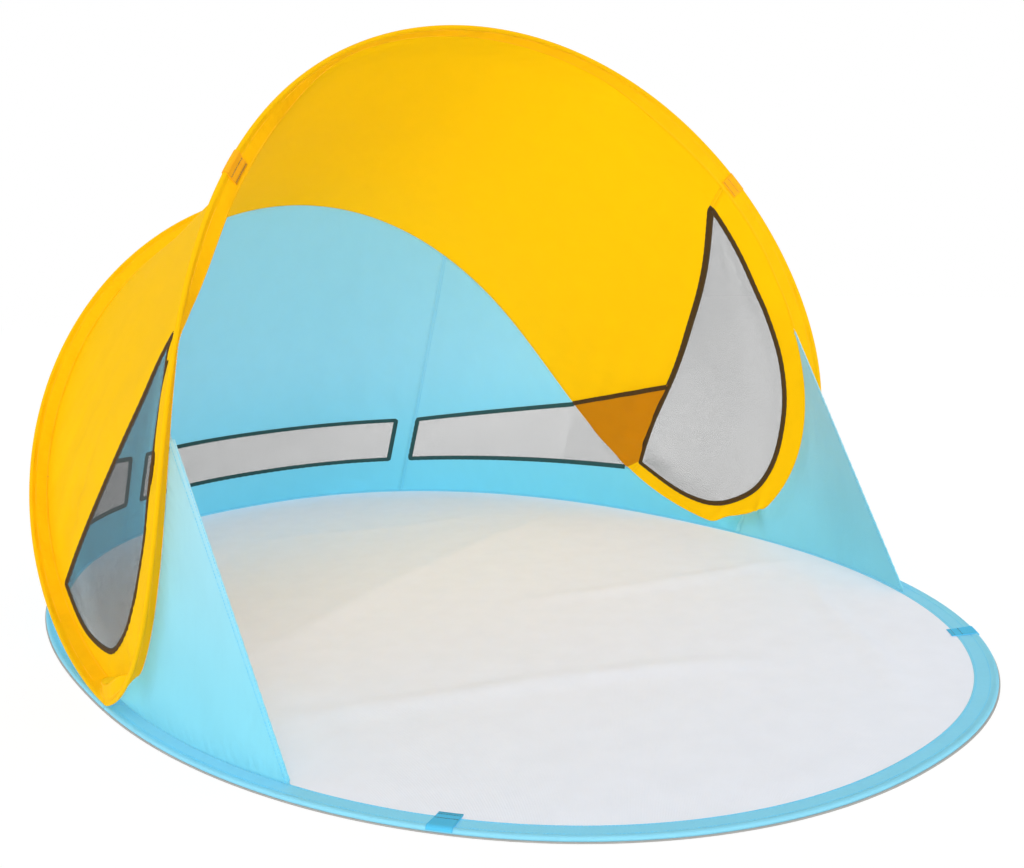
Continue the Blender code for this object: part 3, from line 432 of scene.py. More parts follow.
def mesh_object(name, points, faces, uvs, mat, thickness=0.0):
    """One shaded piece from points, faces and UVs at its points, in metres."""
    mesh = bpy.data.meshes.new(name)
    mesh.from_pydata(points.reshape(-1, 3).tolist(), [], [tuple(f) for f in faces.tolist()])
    layer = mesh.uv_layers.new(name="UVMap")
    loops = np.empty(len(mesh.loops), int)
    mesh.loops.foreach_get("vertex_index", loops)
    layer.data.foreach_set("uv", np.asarray(uvs, float).reshape(-1, 2)[loops].ravel())
    mesh.polygons.foreach_set("use_smooth", [True] * len(mesh.polygons))
    mesh.materials.append(mat)
    piece = new_object(name, mesh)
    if thickness:
        solid = piece.modifiers.new("cloth", "SOLIDIFY")
        solid.thickness, solid.offset = thickness, 0.0
        apply_modifiers(piece)
    return piece


# The flat size and area of each panel made so far, by its name
flat_sizes = {}
# The cloth's thickness, how far puckers reach from a seam, and twice the area of the smallest face kept
cloth_thickness, pucker_reach, smallest_face = 0.00035, 0.012, 2e-8


def grid_normals(points):
    down = np.gradient(points, axis=0)
    along = np.gradient(points, axis=1)
    return unit(np.cross(along, down))


def waves(a, b, pattern):
    """Soft folds as a sum of slanted waves; pattern rows are (across, along, phase, height)."""
    return sum(h * np.sin(2 * np.pi * (p * a + q * b) + f) for p, q, f, h in pattern)


def arc_lengths(points):
    along = np.linalg.norm(np.diff(points, axis=1), axis=2)
    u = np.concatenate((np.zeros((points.shape[0], 1)), np.cumsum(along, axis=1)), axis=1)
    u = u - u.mean(axis=1, keepdims=True)
    down = np.linalg.norm(np.diff(points, axis=0), axis=2)
    v = np.concatenate((np.zeros((1, points.shape[1])), np.cumsum(down, axis=0)), axis=0)
    return np.stack((u, v), -1)


def panel(name, points, folds, mat, thickness=cloth_thickness, pucker=0.0007, sewn=(1, 1, 1, 1), keep=None):
    """A panel from a grid of points: folds in the middle, puckers of thread pull along its sewn sides."""
    uv = arc_lengths(points)
    rows, columns = points.shape[:2]
    steps_down = np.linalg.norm(np.diff(points, axis=0), axis=2)
    steps_along = np.linalg.norm(np.diff(points, axis=1), axis=2)
    zero_row, zero_col = np.zeros((1, columns)), np.zeros((rows, 1))
    near_top = np.concatenate((zero_row, np.cumsum(steps_down, axis=0)), axis=0)
    near_left = np.concatenate((zero_col, np.cumsum(steps_along, axis=1)), axis=1)
    reaches = (near_top, near_top[-1:] - near_top, near_left, near_left[:, -1:] - near_left)
    fade = np.ones((rows, columns))
    pull = np.zeros((rows, columns))
    for n, (reach, is_sewn) in enumerate(zip(reaches, sewn)):
        if not is_sewn:
            continue
        fade = fade * smooth(0.0, 0.05, reach)
        along = uv[..., 0] if n < 2 else uv[..., 1]
        ripple = np.sin(2 * np.pi * along / 0.019) + 0.6 * np.sin(2 * np.pi * along / 0.0131 + 1.7)
        pull = pull + pucker * ripple * np.exp(-reach / pucker_reach) * smooth(0.0, 0.004, reach)
    heights = folds * fade + pull
    shaped = points + grid_normals(points) * heights[..., None]
    faces = grid_faces(rows, columns)
    if keep is not None:
        faces = faces[keep.ravel()]
    corners = shaped.reshape(-1, 3)[faces]
    size = np.linalg.norm(np.cross(corners[:, 2] - corners[:, 0], corners[:, 3] - corners[:, 1]), axis=1)
    faces, size = faces[size > smallest_face], size[size > smallest_face]
    used, inverse = np.unique(faces, return_inverse=True)
    inverse, flat_uv = inverse.reshape(-1, 4), uv.reshape(-1, 2)[used]
    piece = mesh_object(name, shaped.reshape(-1, 3)[used], inverse, flat_uv, mat, thickness)
    flat_sizes[piece.name] = (np.ptp(flat_uv, axis=0), size.sum() / 2)
    return piece


least_area_share = 0.35


def declare(size):
    """Works out a cloth sheet's width from its flat size and area, narrowed where the area fills little of it;
    nothing is kept.
    """
    (w, l), area = size
    share = area / (w * l)
    if share < least_area_share:
        w = w * share / least_area_share


def spline(points, count):
    """A smooth line through a few points, evenly spaced along it."""
    p = np.array(points, float)
    p = np.concatenate((2 * p[:1] - p[1:2], p, 2 * p[-1:] - p[-2:-1]))
    line = []
    for a, b, c, d in zip(p, p[1:], p[2:], p[3:]):
        t = np.linspace(0, 1, 40, endpoint=False)[:, None]
        line.append(0.5 * (2 * b + (c - a) * t + (2 * a - 5 * b + 4 * c - d) * t ** 2
                           + (3 * b - a - 3 * c + d) * t ** 3))
    line = np.concatenate(line + [p[-2:-1]])
    steps = np.linalg.norm(np.diff(line * (2.3, 0.7), axis=0), axis=1)
    shares = np.concatenate(((0,), np.cumsum(steps))) / steps.sum()
    t = np.linspace(0, 1, count)
    return np.stack([np.interp(t, shares, line[:, k]) for k in (0, 1)], -1)


def hang(cloth, body, node, joint):
    """Sets a stretched panel in its place and hides the model's part it stands for; its flat size and area go
    to declare.
    """
    size = flat_sizes[cloth.name]
    attach(cloth, body, [node], joint)
    declare(size)


def mirror(line, side):
    """A line in shares for the left side as it is, or turned over for the right."""
    line = np.array(line, float)
    if side > 0:
        line[..., 0] = 1 - line[..., 0]
    return line


def attach(piece, body, nodes=(), joint=None):
    """Sets a piece on its body, or with a joint bakes its placing in and leaves it unparented; tidies its name
    and hides the model's parts it stands for.
    """
    piece.name = piece.name.replace(" ", "_").replace(".", "_")
    if joint:
        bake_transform(piece)
    else:
        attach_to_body(piece, body)
    if nodes:
        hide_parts(*nodes)
    return piece


# Where the canopy and the legs turn about the feet, and the entrance gussets likewise: two bodies and two
# points each, which attach uses only to leave a piece unparented
arch_bend = ("rear_leaf", "front_arch", (0, -0.0416, -0.0197), (0, -0.1924, 0.0337))
gusset_bend = ("front_floor", "front_arch", (0, -0.135, -0.017), (0, -0.099, 0.031))


def band_shares(left, right, columns):
    """A grid of shares between two lines of them."""
    t = np.linspace(0, 1, columns)[None, :, None]
    return left[:, None] * (1 - t) + right[:, None] * t


def window_edges(word, count):
    """A side window's front and rear edges, both from its top to its rear corner."""
    top, front, corner, rear = window_shapes[word]
    return spline((top,) + front + (corner,), count), spline((top,) + rear + (corner,), count)


def canopy_folds(s, v):
    """Soft wrinkles of the stretched canopy, as heights at shares of it."""
    low = 1 - smooth(0.12, 0.34, side_share(s))
    broad = waves(s, v, ((3.0, 0.7, 0.4, 0.0016), (7.0, -1.1, 2.0, 0.0008), (0.5, 2.5, 1.0, 0.0010)))
    pulled = waves(s, v, ((21.0, 3.0, 0.5, 0.0030), (34.0, -5.0, 2.0, 0.0018), (47.0, 9.0, 1.0, 0.0010)))
    return broad + pulled * low * smooth(0.30, 0.75, v) * (1 - 0.5 * smooth(0.85, 1.0, v))


def build_canopy():
    borders = []
    for side, word in sides:
        front_edge, rear_edge = window_edges(word, 110)
        lead_in = np.linspace((roof_front, 0.0), rear_edge[0], 14)[:-1]
        lead_out = np.linspace(rear_edge[-1], (roof_rear, 1.0), 8)[1:]
        borders.append(mirror(np.concatenate((lead_in, rear_edge, lead_out)), side))
        outer = np.concatenate((np.linspace((roof_front, 0.0), (foot_share, 0.0), 62)[:-1],
                                np.linspace((foot_share, 0.0), (foot_share, 1.0), 12)[:-1],
                                np.linspace((foot_share, 1.0), (roof_rear, 1.0), 38)))
        shares = band_shares(mirror(outer, side), mirror(front_edge, side), 18)
        a, b = np.meshgrid(np.linspace(0, 1, 18), np.linspace(0, 1, 110))
        folds = waves(a, b, ((0.8, 5.0, 0.3, 0.0016), (0.6, 11.0, 1.0, 0.0013), (1.3, 17.0, 2.0, 0.0008)))
        cloth = panel(word + " canopy side cloth", canopy(shares[..., 0], shares[..., 1]), folds, yellow,
                      pucker=0.0004)
        hang(cloth, None, word + "_canopy_side", arch_bend)
        front_edge, rear_edge = window_edges(word, 60)
        shares = band_shares(mirror(front_edge, side), mirror(rear_edge, side), 34)
        a, b = np.meshgrid(np.linspace(0, 1, 34), np.linspace(0, 1, 60))
        folds = waves(a, b, ((0.7, 1.5, 1.0, 0.0012), (1.9, 0.8, 0.0, 0.0007)))
        net = panel(word + " side window net", canopy(shares[..., 0], shares[..., 1]), folds, window_net,
                    net_thickness, pucker=0.0)
        hang(net, None, word + "_side_window", arch_bend)
    shares = band_shares(*borders, 150)
    points = canopy(shares[..., 0], shares[..., 1])
    inner = np.sign((grid_normals(points)[60, 75] * (0, 0, -1)).sum())
    roof = panel("canopy roof cloth", points, inner * canopy_folds(shares[..., 0], shares[..., 1]), yellow)
    hang(roof, None, "canopy_roof", arch_bend)


def surface_frame(surface, line, closed=False):
    """Points, side and inner normal of a line on a surface."""
    line = np.asarray(line, float)
    a, b = line[:, 0], line[:, 1]
    points = surface(a, b)
    first = surface(a + 0.003, b) - surface(a - 0.003, b)
    second = surface(a, b + 0.003) - surface(a, b - 0.003)
    normal = unit(np.cross(first, second))
    middle = np.array((0.0, fold_y / 2, 0.28))
    normal = normal * np.sign(((middle - points) * normal).sum(-1, keepdims=True))
    if closed:
        forward = unit(np.roll(points, -1, 0) - np.roll(points, 1, 0))
    else:
        forward = unit(np.gradient(points, axis=0))
    return points, unit(np.cross(normal, forward)), normal


def arc_of(points):
    return np.concatenate(((0.0,), np.cumsum(np.linalg.norm(np.diff(points, axis=0), axis=1))))


def resample(line, surface, spacing, closed=False):
    """A line in shares with its points evenly spaced in metres."""
    line = np.asarray(line, float)
    if closed:
        line = np.concatenate((line, line[:1]))
    arc = arc_of(surface(line[:, 0], line[:, 1]))
    count = max(int(arc[-1] / spacing), 4)
    t = np.linspace(0, arc[-1], count + 1)
    if closed:
        t = t[:-1]
    return np.stack([np.interp(t, arc, line[:, k]) for k in (0, 1)], -1)


def swept(name, centres, across, normals, shape, mat, closed=False):
    """A solid swept along centres; shape is rows of (across, out) at every station, or one for all."""
    shape = np.asarray(shape, float)
    if shape.ndim == 2:
        shape = np.broadcast_to(shape, (len(centres),) + shape.shape)
    points = centres[:, None] + across[:, None] * shape[..., :1] + normals[:, None] * shape[..., 1:]
    stations, around = points.shape[:2]
    grid = np.concatenate((points, points[:1])) if closed else points
    faces = grid_faces(len(grid), around, True)
    if closed:
        faces = np.where(faces >= stations * around, faces - stations * around, faces)
    arc = arc_of(centres)
    girth = np.concatenate(((0.0,), np.cumsum(np.linalg.norm(np.diff(shape[0], axis=0), axis=1))))
    uv = np.stack(np.meshgrid(girth, arc), -1)
    piece = mesh_object(name, points, faces, uv, mat)
    if not closed:
        work = bmesh.new()
        work.from_mesh(piece.data)
        work.verts.ensure_lookup_table()
        work.faces.new([work.verts[n] for n in range(around)])
        work.faces.new([work.verts[n] for n in reversed(range((stations - 1) * around, stations * around))])
        work.to_mesh(piece.data)
        work.free()
    return piece


def tape_shape(widths, half, outer=1.0, rounding=0.0006):
    """Sections of a folded tape that wraps an edge; its outer face may be narrower than its inner."""
    w = np.asarray(widths, float)[:, None] / 2
    n = w * outer
    across = np.concatenate((w - rounding, w, n, n - rounding, -n + rounding, -n, -w, -w + rounding), 1)
    out = np.array((half, half - rounding, -half + rounding, -half, -half, -half + rounding,
                    half - rounding, half))
    return np.stack((across, np.broadcast_to(out, across.shape)), -1)


def tape(name, surface, line, widths, half, mat, closed=False, wave=0.0004, outer=1.0):
    """A binding folded over an edge, with the slight waves that stitching leaves; gives its stitch lines."""
    line = np.asarray(line, float)
    widths = np.broadcast_to(np.asarray(widths, float), (len(line),))
    fine = resample(line, surface, 0.004, closed)
    old = np.concatenate((line, line[:1])) if closed else line
    arc_old = arc_of(surface(old[:, 0], old[:, 1]))
    arc_new = np.linspace(0, arc_old[-1], len(fine), endpoint=not closed)
    width_new = np.interp(arc_new, arc_old, np.concatenate((widths, widths[:1])) if closed else widths)
    points, side, normal = surface_frame(surface, fine, closed)
    shape = tape_shape(width_new, half, outer)
    ripple = wave * np.sin(2 * np.pi * arc_new / 0.017) + 0.5 * wave * np.sin(2 * np.pi * arc_new / 0.0083)
    shape[..., 1] += ripple[:, None] * np.abs(shape[..., 0]) / (width_new[:, None] / 2)
    piece = swept(name, points, side, normal, shape, mat, closed)
    rows = []
    for across in (0.32, -0.32):
        for out in (1, -1) if outer == 1.0 else (1,):
            row = points + side * (width_new * across)[:, None] + normal * (half * out * 1.02)
            rows.append(np.concatenate((row, row[:1])) if closed else row)
    return piece, rows


def stitch_group():
    """Geometry nodes: short thread stitches along every edge line, at a pitch."""
    group = bpy.data.node_groups.new("stitch rows", "GeometryNodeTree")
    for label, kind, value in (("Geometry", "Geometry", None), ("Pitch", "Float", stitch_pitch),
                               ("Stitch length", "Float", stitch_length),
                               ("Thread radius", "Float", thread_radius), ("Seed", "Int", stitch_seed),
                               ("Material", "Material", None)):
        socket = group.interface.new_socket(label, in_out="INPUT", socket_type="NodeSocket" + kind)
        if value is not None:
            socket.default_value = value
    group.interface.new_socket("Geometry", in_out="OUTPUT", socket_type="NodeSocketGeometry")
    geometry, function = "GeometryNode", "FunctionNode"
    given = group.nodes.new("NodeGroupInput").outputs
    curve = add_node(group, "MeshToCurve", {0: given["Geometry"]}, geometry)
    even = add_node(group, "ResampleCurve", {"Curve": curve.outputs[0], "Length": given["Pitch"]}, geometry,
                    mode="LENGTH")
    tangent = add_node(group, "InputTangent", None, geometry)
    align = add_node(group, "AlignEulerToVector", {"Vector": tangent.outputs[0]}, function, axis="Z")
    thread = add_node(group, "MeshCylinder", {"Vertices": 5, "Radius": given["Thread radius"],
                                              "Depth": given["Stitch length"]}, geometry)
    # Sockets 2 and 3 are the least and the most of a random number
    vary = add_node(group, "RandomValue", {2: 0.9, 3: 1.1, "Seed": given["Seed"]}, function,
                    data_type="FLOAT")
    place = add_node(group, "InstanceOnPoints", {"Points": even.outputs[0], "Instance": thread.outputs["Mesh"],
                                                 "Rotation": align.outputs[0], "Scale": vary.outputs[1]},
                     geometry)
    real = add_node(group, "RealizeInstances", {0: place.outputs[0]}, geometry)
    paint = add_node(group, "SetMaterial", {"Geometry": real.outputs[0], "Material": given["Material"]},
                     geometry)
    group.links.new(paint.outputs[0], group.nodes.new("NodeGroupOutput").inputs[0])
    return group


stitch_nodes = stitch_group()


def stitches(name, rows, thread, body=None, joint=None, pitch=stitch_pitch, length=stitch_length):
    """Rows of real stitches along lines of points."""
    points, edges, start = [], [], 0
    for row in rows:
        points += np.asarray(row).tolist()
        edges += [(start + n, start + n + 1) for n in range(len(row) - 1)]
        start += len(row)
    mesh = bpy.data.meshes.new(name)
    mesh.from_pydata(points, edges, [])
    piece = new_object(name, mesh)
    made = piece.modifiers.new("stitches", "NODES")
    made.node_group = stitch_nodes
    names = {item.name: item.identifier for item in stitch_nodes.interface.items_tree
             if item.item_type == "SOCKET" and item.in_out == "INPUT"}
    for label, value in (("Pitch", pitch), ("Stitch length", length), ("Thread radius", thread_radius),
                         ("Seed", stitch_seed), ("Material", thread)):
        made[names[label]] = value
    apply_modifiers(piece)
    return attach(piece, body, (), joint)


def sleeve_shape(arc, flat=0.0):
    """Sections of a wire sleeve: a round channel, a stitched waist and a flat flap that ripples a little."""
    r, w, e = sleeve_radius, sleeve_width + flap_gap, sleeve_edge / 2
    turn = np.radians(np.linspace(48, 312, 13))
    top = np.array([(w, e * 0.6), (w - 0.0012, e), (w * 0.75, e * 1.15), (w * 0.5, e * 1.1),
                    (w * 0.36, e * 1.1), (w * 0.27, e * 0.8), (w * 0.2, e * 1.6)])
    tube = np.stack((r * np.cos(turn), r * np.sin(turn) * 0.97), -1)
    base = np.concatenate((top, tube, top[::-1] * (1, -1)))
    shape = np.broadcast_to(base, (len(arc),) + base.shape).copy()
    share = np.clip(base[:, 0] / w, 0, 1)
    middle = 4 * share * (1 - share)
    ripple = np.sin(2 * np.pi * arc / 0.016) + 0.5 * np.sin(2 * np.pi * arc / 0.0097 + 1)
    slow = np.sin(2 * np.pi * arc / 0.083) + 0.6 * np.sin(2 * np.pi * arc / 0.149 + 2)
    shape[..., 1] += (0.00028 * ripple)[:, None] * middle * np.sign(base[:, 1])
    shape[..., 1] += ((1 - flat) * 0.0011 * slow)[:, None] * middle
    return shape


def sleeve(name, line, flap, end, mat, flat=0.0):
    """A stitched sleeve along a wire, from one end's share to the other's, with its stitch rows."""
    rough = np.linspace(end, 1 - end, 400)
    arc = arc_of(line(rough))
    shares = np.interp(np.linspace(0, arc[-1], int(arc[-1] / 0.004)), arc, rough)
    centres = line(shares)
    forward = heading(line, shares) if not flat else unit(np.gradient(centres, axis=0))
    out = square_to(flap(shares), forward)
    across = np.cross(forward, out)
    shape = sleeve_shape(arc_of(centres), flat)
    piece = swept(name, centres, out, across, shape, mat)
    rows = []
    for sign in (1, -1) if not flat else (1 if across[0, 2] > 0 else -1,):
        for reach, lift in ((0.27, 0.0011), (0.93, 0.0013)):
            rows.append(centres + out * sleeve_width * reach + across * sign * lift)
    return piece, rows


def wire(name, line):
    """The wire inside an arch's sleeve, from foot to foot."""
    shares = np.linspace(sleeve_end, 1 - sleeve_end, 260)
    centres = line(shares)
    forward = unit(np.gradient(centres, axis=0))
    side = unit(np.cross(forward, up + (0.01, 0, 0)))
    normal = np.cross(side, forward)
    turn = np.linspace(0, 2 * np.pi, 8, endpoint=False)
    shape = np.stack((np.cos(turn), np.sin(turn)), -1) * wire_radius
    return swept(name, centres, side, normal, shape, wire_steel)


def build_arches():
    front, rows = sleeve("front arch sleeve cloth", front_wire, front_flap, sleeve_end, shaded_yellow_sleeve)
    attach(front, None, ["front_arch_sleeve", "left_foot_sleeve", "right_foot_sleeve"], arch_bend)
    stitches("front arch sleeve stitches", rows, yellow_thread, None, arch_bend)
    hoop = wire("front arch wire run", front_wire)
    attach(hoop, None, ["front_arch_wire", "left_foot_wire", "right_foot_wire"], arch_bend)
    rear, rows = sleeve("rear arch sleeve cloth", rear_wire, rear_flap, sleeve_end, shaded_yellow_sleeve)
    attach(rear, "rear_leaf", ["rear_arch_sleeve"], None)
    stitches("rear arch sleeve stitches", rows, yellow_thread, "rear_leaf")


def floor_flap(line):
    fall = (sleeve_radius - sleeve_edge / 2) / sleeve_width

    def flap(s):
        forward = unit(line(np.clip(s + 0.002, 0, 1)) - line(np.clip(s - 0.002, 0, 1)))
        inner = unit(np.cross(up, forward))
        middle = np.array((0.0, widest_y, 0.0)) - line(s)
        inner = inner * np.sign((inner * middle).sum(-1, keepdims=True))
        return inner * math.sqrt(1 - fall ** 2) - up * fall
    return flap


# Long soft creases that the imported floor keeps: two ends, half width and height
floor_creases = (((-0.42, -0.05), (0.45, 0.28), 0.032, 0.0065), ((-0.50, -0.30), (0.10, -0.62), 0.026, 0.0055),
                 ((0.05, -0.15), (0.55, -0.35), 0.028, 0.0058), ((-0.15, 0.55), (0.35, 0.42), 0.028, 0.0042),
                 ((0.15, -0.80), (0.50, -0.45), 0.020, 0.0045), ((-0.55, 0.10), (-0.20, 0.60), 0.023, 0.0042))


# A darker grey strip under the floor's sleeve along the ground, as (inwards, up) from the ground below its
# wire
ground_strip_shape = ((-0.0052, 0.0002), (0.002, 0.0002), (0.002, 0.0006), (-0.0052, 0.0012))
floor_rows, floor_columns = 110, 200
floor_low = 0.0009


def floor_rise(x, y, from_edge):
    """How far soft waves and the creases lift the floor; it lies flat at its fold line and its edge."""
    beyond = y - fold_y
    soft = waves(x, beyond, ((1.3, 2.1, 0.5, 0.5), (3.1, -1.7, 2.0, 0.35), (5.3, 4.1, 1.0, 0.2),
                             (9.7, -7.1, 3.0, 0.1)))
    rise = 0.0030 * np.clip(soft, 0, None) ** 1.2
    for (x1, y1), (x2, y2), wide, high in floor_creases:
        long, across = np.array((x2 - x1, y2 - y1)), np.array((y1 - y2, x2 - x1))
        size = np.hypot(*long)
        t = ((x - x1) * long[0] + (y - y1) * long[1]) / size ** 2
        off = ((x - x1) * across[0] + (y - y1) * across[1]) / size
        off = off + 0.02 * np.sin(4.0 * t + x1 * 9)
        ends = smooth(-0.15, 0.2, t) * (1 - smooth(0.8, 1.15, t))
        rise = rise + high * np.exp(-(off / wide) ** 2) * ends
    return rise * smooth(0.0, 0.06, np.abs(beyond)) * smooth(0.0, 0.05, from_edge)


def build_floor():
    for word, rear, body in (("front", False, "front_floor"), ("rear", True, "rear_leaf")):
        edge = Edge(rear, sleeve_radius, sleeve_radius)
        piece, rows = sleeve(word + " floor sleeve cloth", edge.at, floor_flap(edge.at), floor_sleeve_end,
                             blue_sleeve, 0.85)
        attach(piece, body, [word + "_floor_sleeve"], None)
        stitches(word + " floor sleeve stitches", rows, blue_thread, body)
        s = np.linspace(floor_sleeve_end, 1 - floor_sleeve_end, 500)
        line = edge.at(s)
        inwards = unit(floor_flap(edge.at)(s) * (1, 1, 0))
        # The darker grey strip along the ground under the sleeve
        hem = swept(word + " floor ground strip", line - up * sleeve_radius, inwards, np.broadcast_to(up, line.shape),
                    ground_strip_shape, grey_ground_strip)
        attach(hem, body, (), None)
        seam = Edge(rear, seam_inset - 0.0010)
        w = np.linspace(0, 1, floor_rows)[:, None]
        rim = seam.at(np.linspace(0, 1, floor_columns))
        fold = rim.copy()
        fold[:, 1] = fold_y
        fold[:, 0] = np.linspace(rim[0, 0], rim[-1, 0], floor_columns)
        points = fold[None] * (1 - w[..., None]) + rim[None] * w[..., None]
        x, y = points[..., 0], points[..., 1]
        from_edge = (1 - w) * np.abs(rim[None, :, 1] - fold_y)
        points[..., 2] = floor_low + floor_rise(x, y, from_edge)
        uv = np.stack((x, y - fold_y), -1)
        cloth = mesh_object(word + " floor tarpaulin", points, grid_faces(floor_rows, floor_columns), uv,
                            floor_cloth)
        attach(cloth, body, [word + "_floor_panel"], None)
        area = abs(np.trapz(rim[:, 1] - fold_y, rim[:, 0]))
        declare((np.ptp(uv.reshape(-1, 2), axis=0), area))


def drop_at(height, s):
    """The drop at which the wall stands at a height, nought where its seam is lower."""
    top = wall(s, 0.0)[..., 2]
    return np.clip((top - height) / (top - foot_z), 0, None)


def rear_window(s):
    out = np.clip(np.abs(s - 0.5) - (wall_seam - 0.5), 0, None) / (wall_end - wall_seam)
    return drop_at(sill + window_height + 2 * flare * out, s), drop_at(sill + 2 * sill_flare * out, s)


# Rows of the wall's grid above the windows, across them and below them, and columns of each margin
rows_above, rows_across, rows_below = 50, 18, 18
margin_columns = 5


def build_wall():
    share_of = {"centre": (1 - wall_seam, wall_seam), "right": (wall_seam, 1 - foot_share),
                "left": (1 - wall_seam, foot_share)}
    for word, (first, last) in share_of.items():
        centre = word == "centre"
        margin = centre_margin if centre else side_margin
        inner = (first + margin, last - margin) if centre else (first + math.copysign(margin, last - first),)
        if centre:
            s = np.concatenate((np.linspace(first, inner[0], margin_columns)[:-1],
                                np.linspace(*inner, 90)[:-1], np.linspace(inner[1], last, margin_columns)))
        else:
            s = np.concatenate((np.linspace(first, inner[0], margin_columns)[:-1],
                                np.linspace(inner[0], last, 120)))
        high, low = rear_window(s)
        drop = np.concatenate((np.linspace(0, 1, rows_above)[:-1, None] * high,
                               high + np.linspace(0, 1, rows_across)[:-1, None] * (low - high),
                               low + np.linspace(0, 1, rows_below)[:, None] * (1 - low)))
        share = np.broadcast_to(s, drop.shape)
        points = wall(share, drop)
        a, b = np.meshgrid(np.linspace(0, 1, len(s)), np.linspace(0, 1, len(drop)))
        folds = waves(a, b, ((1.5, 0.6, 0.2, 0.0016), (4.0, 1.2, 1.5, 0.0010), (7.0, -2.0, 3.0, 0.0005)))
        folds = folds * smooth(0.01, 0.09, np.abs(drop - high)) * smooth(0.01, 0.09, np.abs(drop - low))
        for upright in inner:
            folds = folds * smooth(0.0025, 0.010, np.abs(share - upright))
        rows, columns = drop.shape
        keep = np.ones((rows - 1, columns - 1), bool)
        top_row, bottom_row = rows_above - 1, rows_above + rows_across - 2
        start_column = margin_columns - 1
        stop_column = columns - margin_columns if centre else columns
        keep[top_row:bottom_row, start_column:stop_column] = False
        cloth = panel("back wall cloth " + word, points, folds, blue, keep=keep)
        hang(cloth, "rear_leaf", "back_wall_" + word, None)
        opening = (slice(top_row, bottom_row + 1), slice(start_column, stop_column + 1))
        net = panel("back window net " + word, points[opening], folds[opening], window_net, net_thickness,
                    pucker=0.0)
        hang(net, "rear_leaf", "back_window_" + word, None)
        if centre:
            run = slice(start_column, columns - start_column)
            ring = np.concatenate((np.stack((s[run], high[run]), -1), np.stack((s[run], low[run]), -1)[::-1]))
            piece, lines = tape("back binding " + word, wall, ring, binding_width, back_binding_half,
                                teal_tape, True)
        else:
            upper = np.stack((s, high), -1)[start_column:]
            lower = np.stack((s, low), -1)[start_column:]
            upper, lower = upper[upper[:, 1] > 0.004], lower[lower[:, 1] > 0.012]
            line = np.concatenate((lower[::-1], upper))
            piece, lines = tape("back binding " + word, wall, line, binding_width, back_binding_half,
                                teal_tape)
            lines = [row[12:-12] for row in lines]
        attach(piece, "rear_leaf", ["back_binding_" + word], None)
        stitches("back binding stitches " + word, lines, dark_thread, "rear_leaf")
    for share in (wall_seam, 1 - wall_seam):
        line = np.stack((np.full(60, share), np.linspace(0.004, 0.996, 60)), -1)
        piece, lines = tape("wall seam %.2f" % share, wall, line, seam_tape_width, seam_tape_half, blue,
                            wave=0.0002)
        attach(piece, "rear_leaf", (), None)
        stitches("wall seam stitches %.2f" % share, lines, blue_thread, "rear_leaf")


def build_bindings():
    for side, word in sides:
        front_edge, rear_edge = window_edges(word, 90)
        ring = np.concatenate((front_edge[:-1], rear_edge[:0:-1]))
        widths = np.where(np.arange(len(ring)) < len(front_edge), binding_width, rear_edge_binding_width)
        piece, lines = tape(word + " side window binding", canopy, mirror(ring, side), widths,
                            side_binding_half, brown_tape, True, outer=0.42)
        attach(piece, None, [word + "_side_binding"], arch_bend)
        stitches(word + " side binding stitches", lines, dark_thread, None, arch_bend)
        for number, ends in enumerate((((roof_front, 0.002), front_edge[0]),
                                       (front_edge[-1], (roof_rear, 0.998)))):
            line = mirror(np.linspace(*ends, 14), side)
            piece, lines = tape("%s canopy seam %d" % (word, number + 1), canopy, line, seam_tape_width,
                                seam_tape_half, yellow, wave=0.0002)
            attach(piece, None, (), arch_bend)
            stitches("%s canopy seam stitches %d" % (word, number + 1), lines, yellow_thread, None, arch_bend)


def build_gussets():
    for side, word in sides:
        surface = gusset(side, word)
        along, drop = np.meshgrid(np.linspace(gusset_start, 1.0, 90), np.linspace(0.0, 1.0, 90))
        points = surface(along, drop)
        folds = waves(along, drop, ((1.2, 0.8, 0.5, 0.0016), (3.0, -1.0, 2.0, 0.0009)))
        cloth = panel(word + " gusset cloth", points, folds, blue_front, sewn=(1, 1, 0, 1))
        hang(cloth, None, word + "_entrance_gusset", gusset_bend)
        # The strip bridges the gap between the wall and the gusset, and laps over each by 0.3 of it
        drop = np.linspace(0.01, 0.99, 60)
        wall_edge = wall(np.full(60, 1 - foot_share if side > 0 else foot_share), drop)
        gusset_edge = surface(np.full(60, gusset_start), drop)
        strip = wall_edge + (gusset_edge - wall_edge) * np.linspace(-0.3, 1.3, 5)[:, None, None]
        piece = panel(word + " foot strip", strip, strip[..., 0] * 0, blue_front, pucker=0.0)
        attach(piece, "rear_leaf", (), None)
        line = np.stack((np.full(60, 0.992), np.linspace(0.01, 0.99, 60)), -1)
        piece, lines = tape(word + " gusset hem", surface, line, gusset_hem_width, gusset_hem_half,
                            blue_front, wave=0.0003)
        attach(piece, None, (), gusset_bend)
        stitches(word + " gusset hem stitches", lines, blue_thread, None, gusset_bend)


# Gaps from the canopy to the net corner, and from the net corner to its tape
corner_gap, corner_tape_gap = 0.0022, 0.0012


def corner_lift(s, v):
    """How far the net corner lies inside the canopy, over its folds."""
    return np.clip(canopy_folds(s, v), 0, None)[..., None] + corner_gap


def above_corner(s, v):
    """Points on the inner face of the net corner."""
    s, v = np.broadcast_arrays(np.asarray(s, float), np.asarray(v, float))
    points, _, normal = surface_frame(canopy, np.stack((s, v), -1))
    return points + normal * (corner_lift(s, v) + corner_tape_gap)


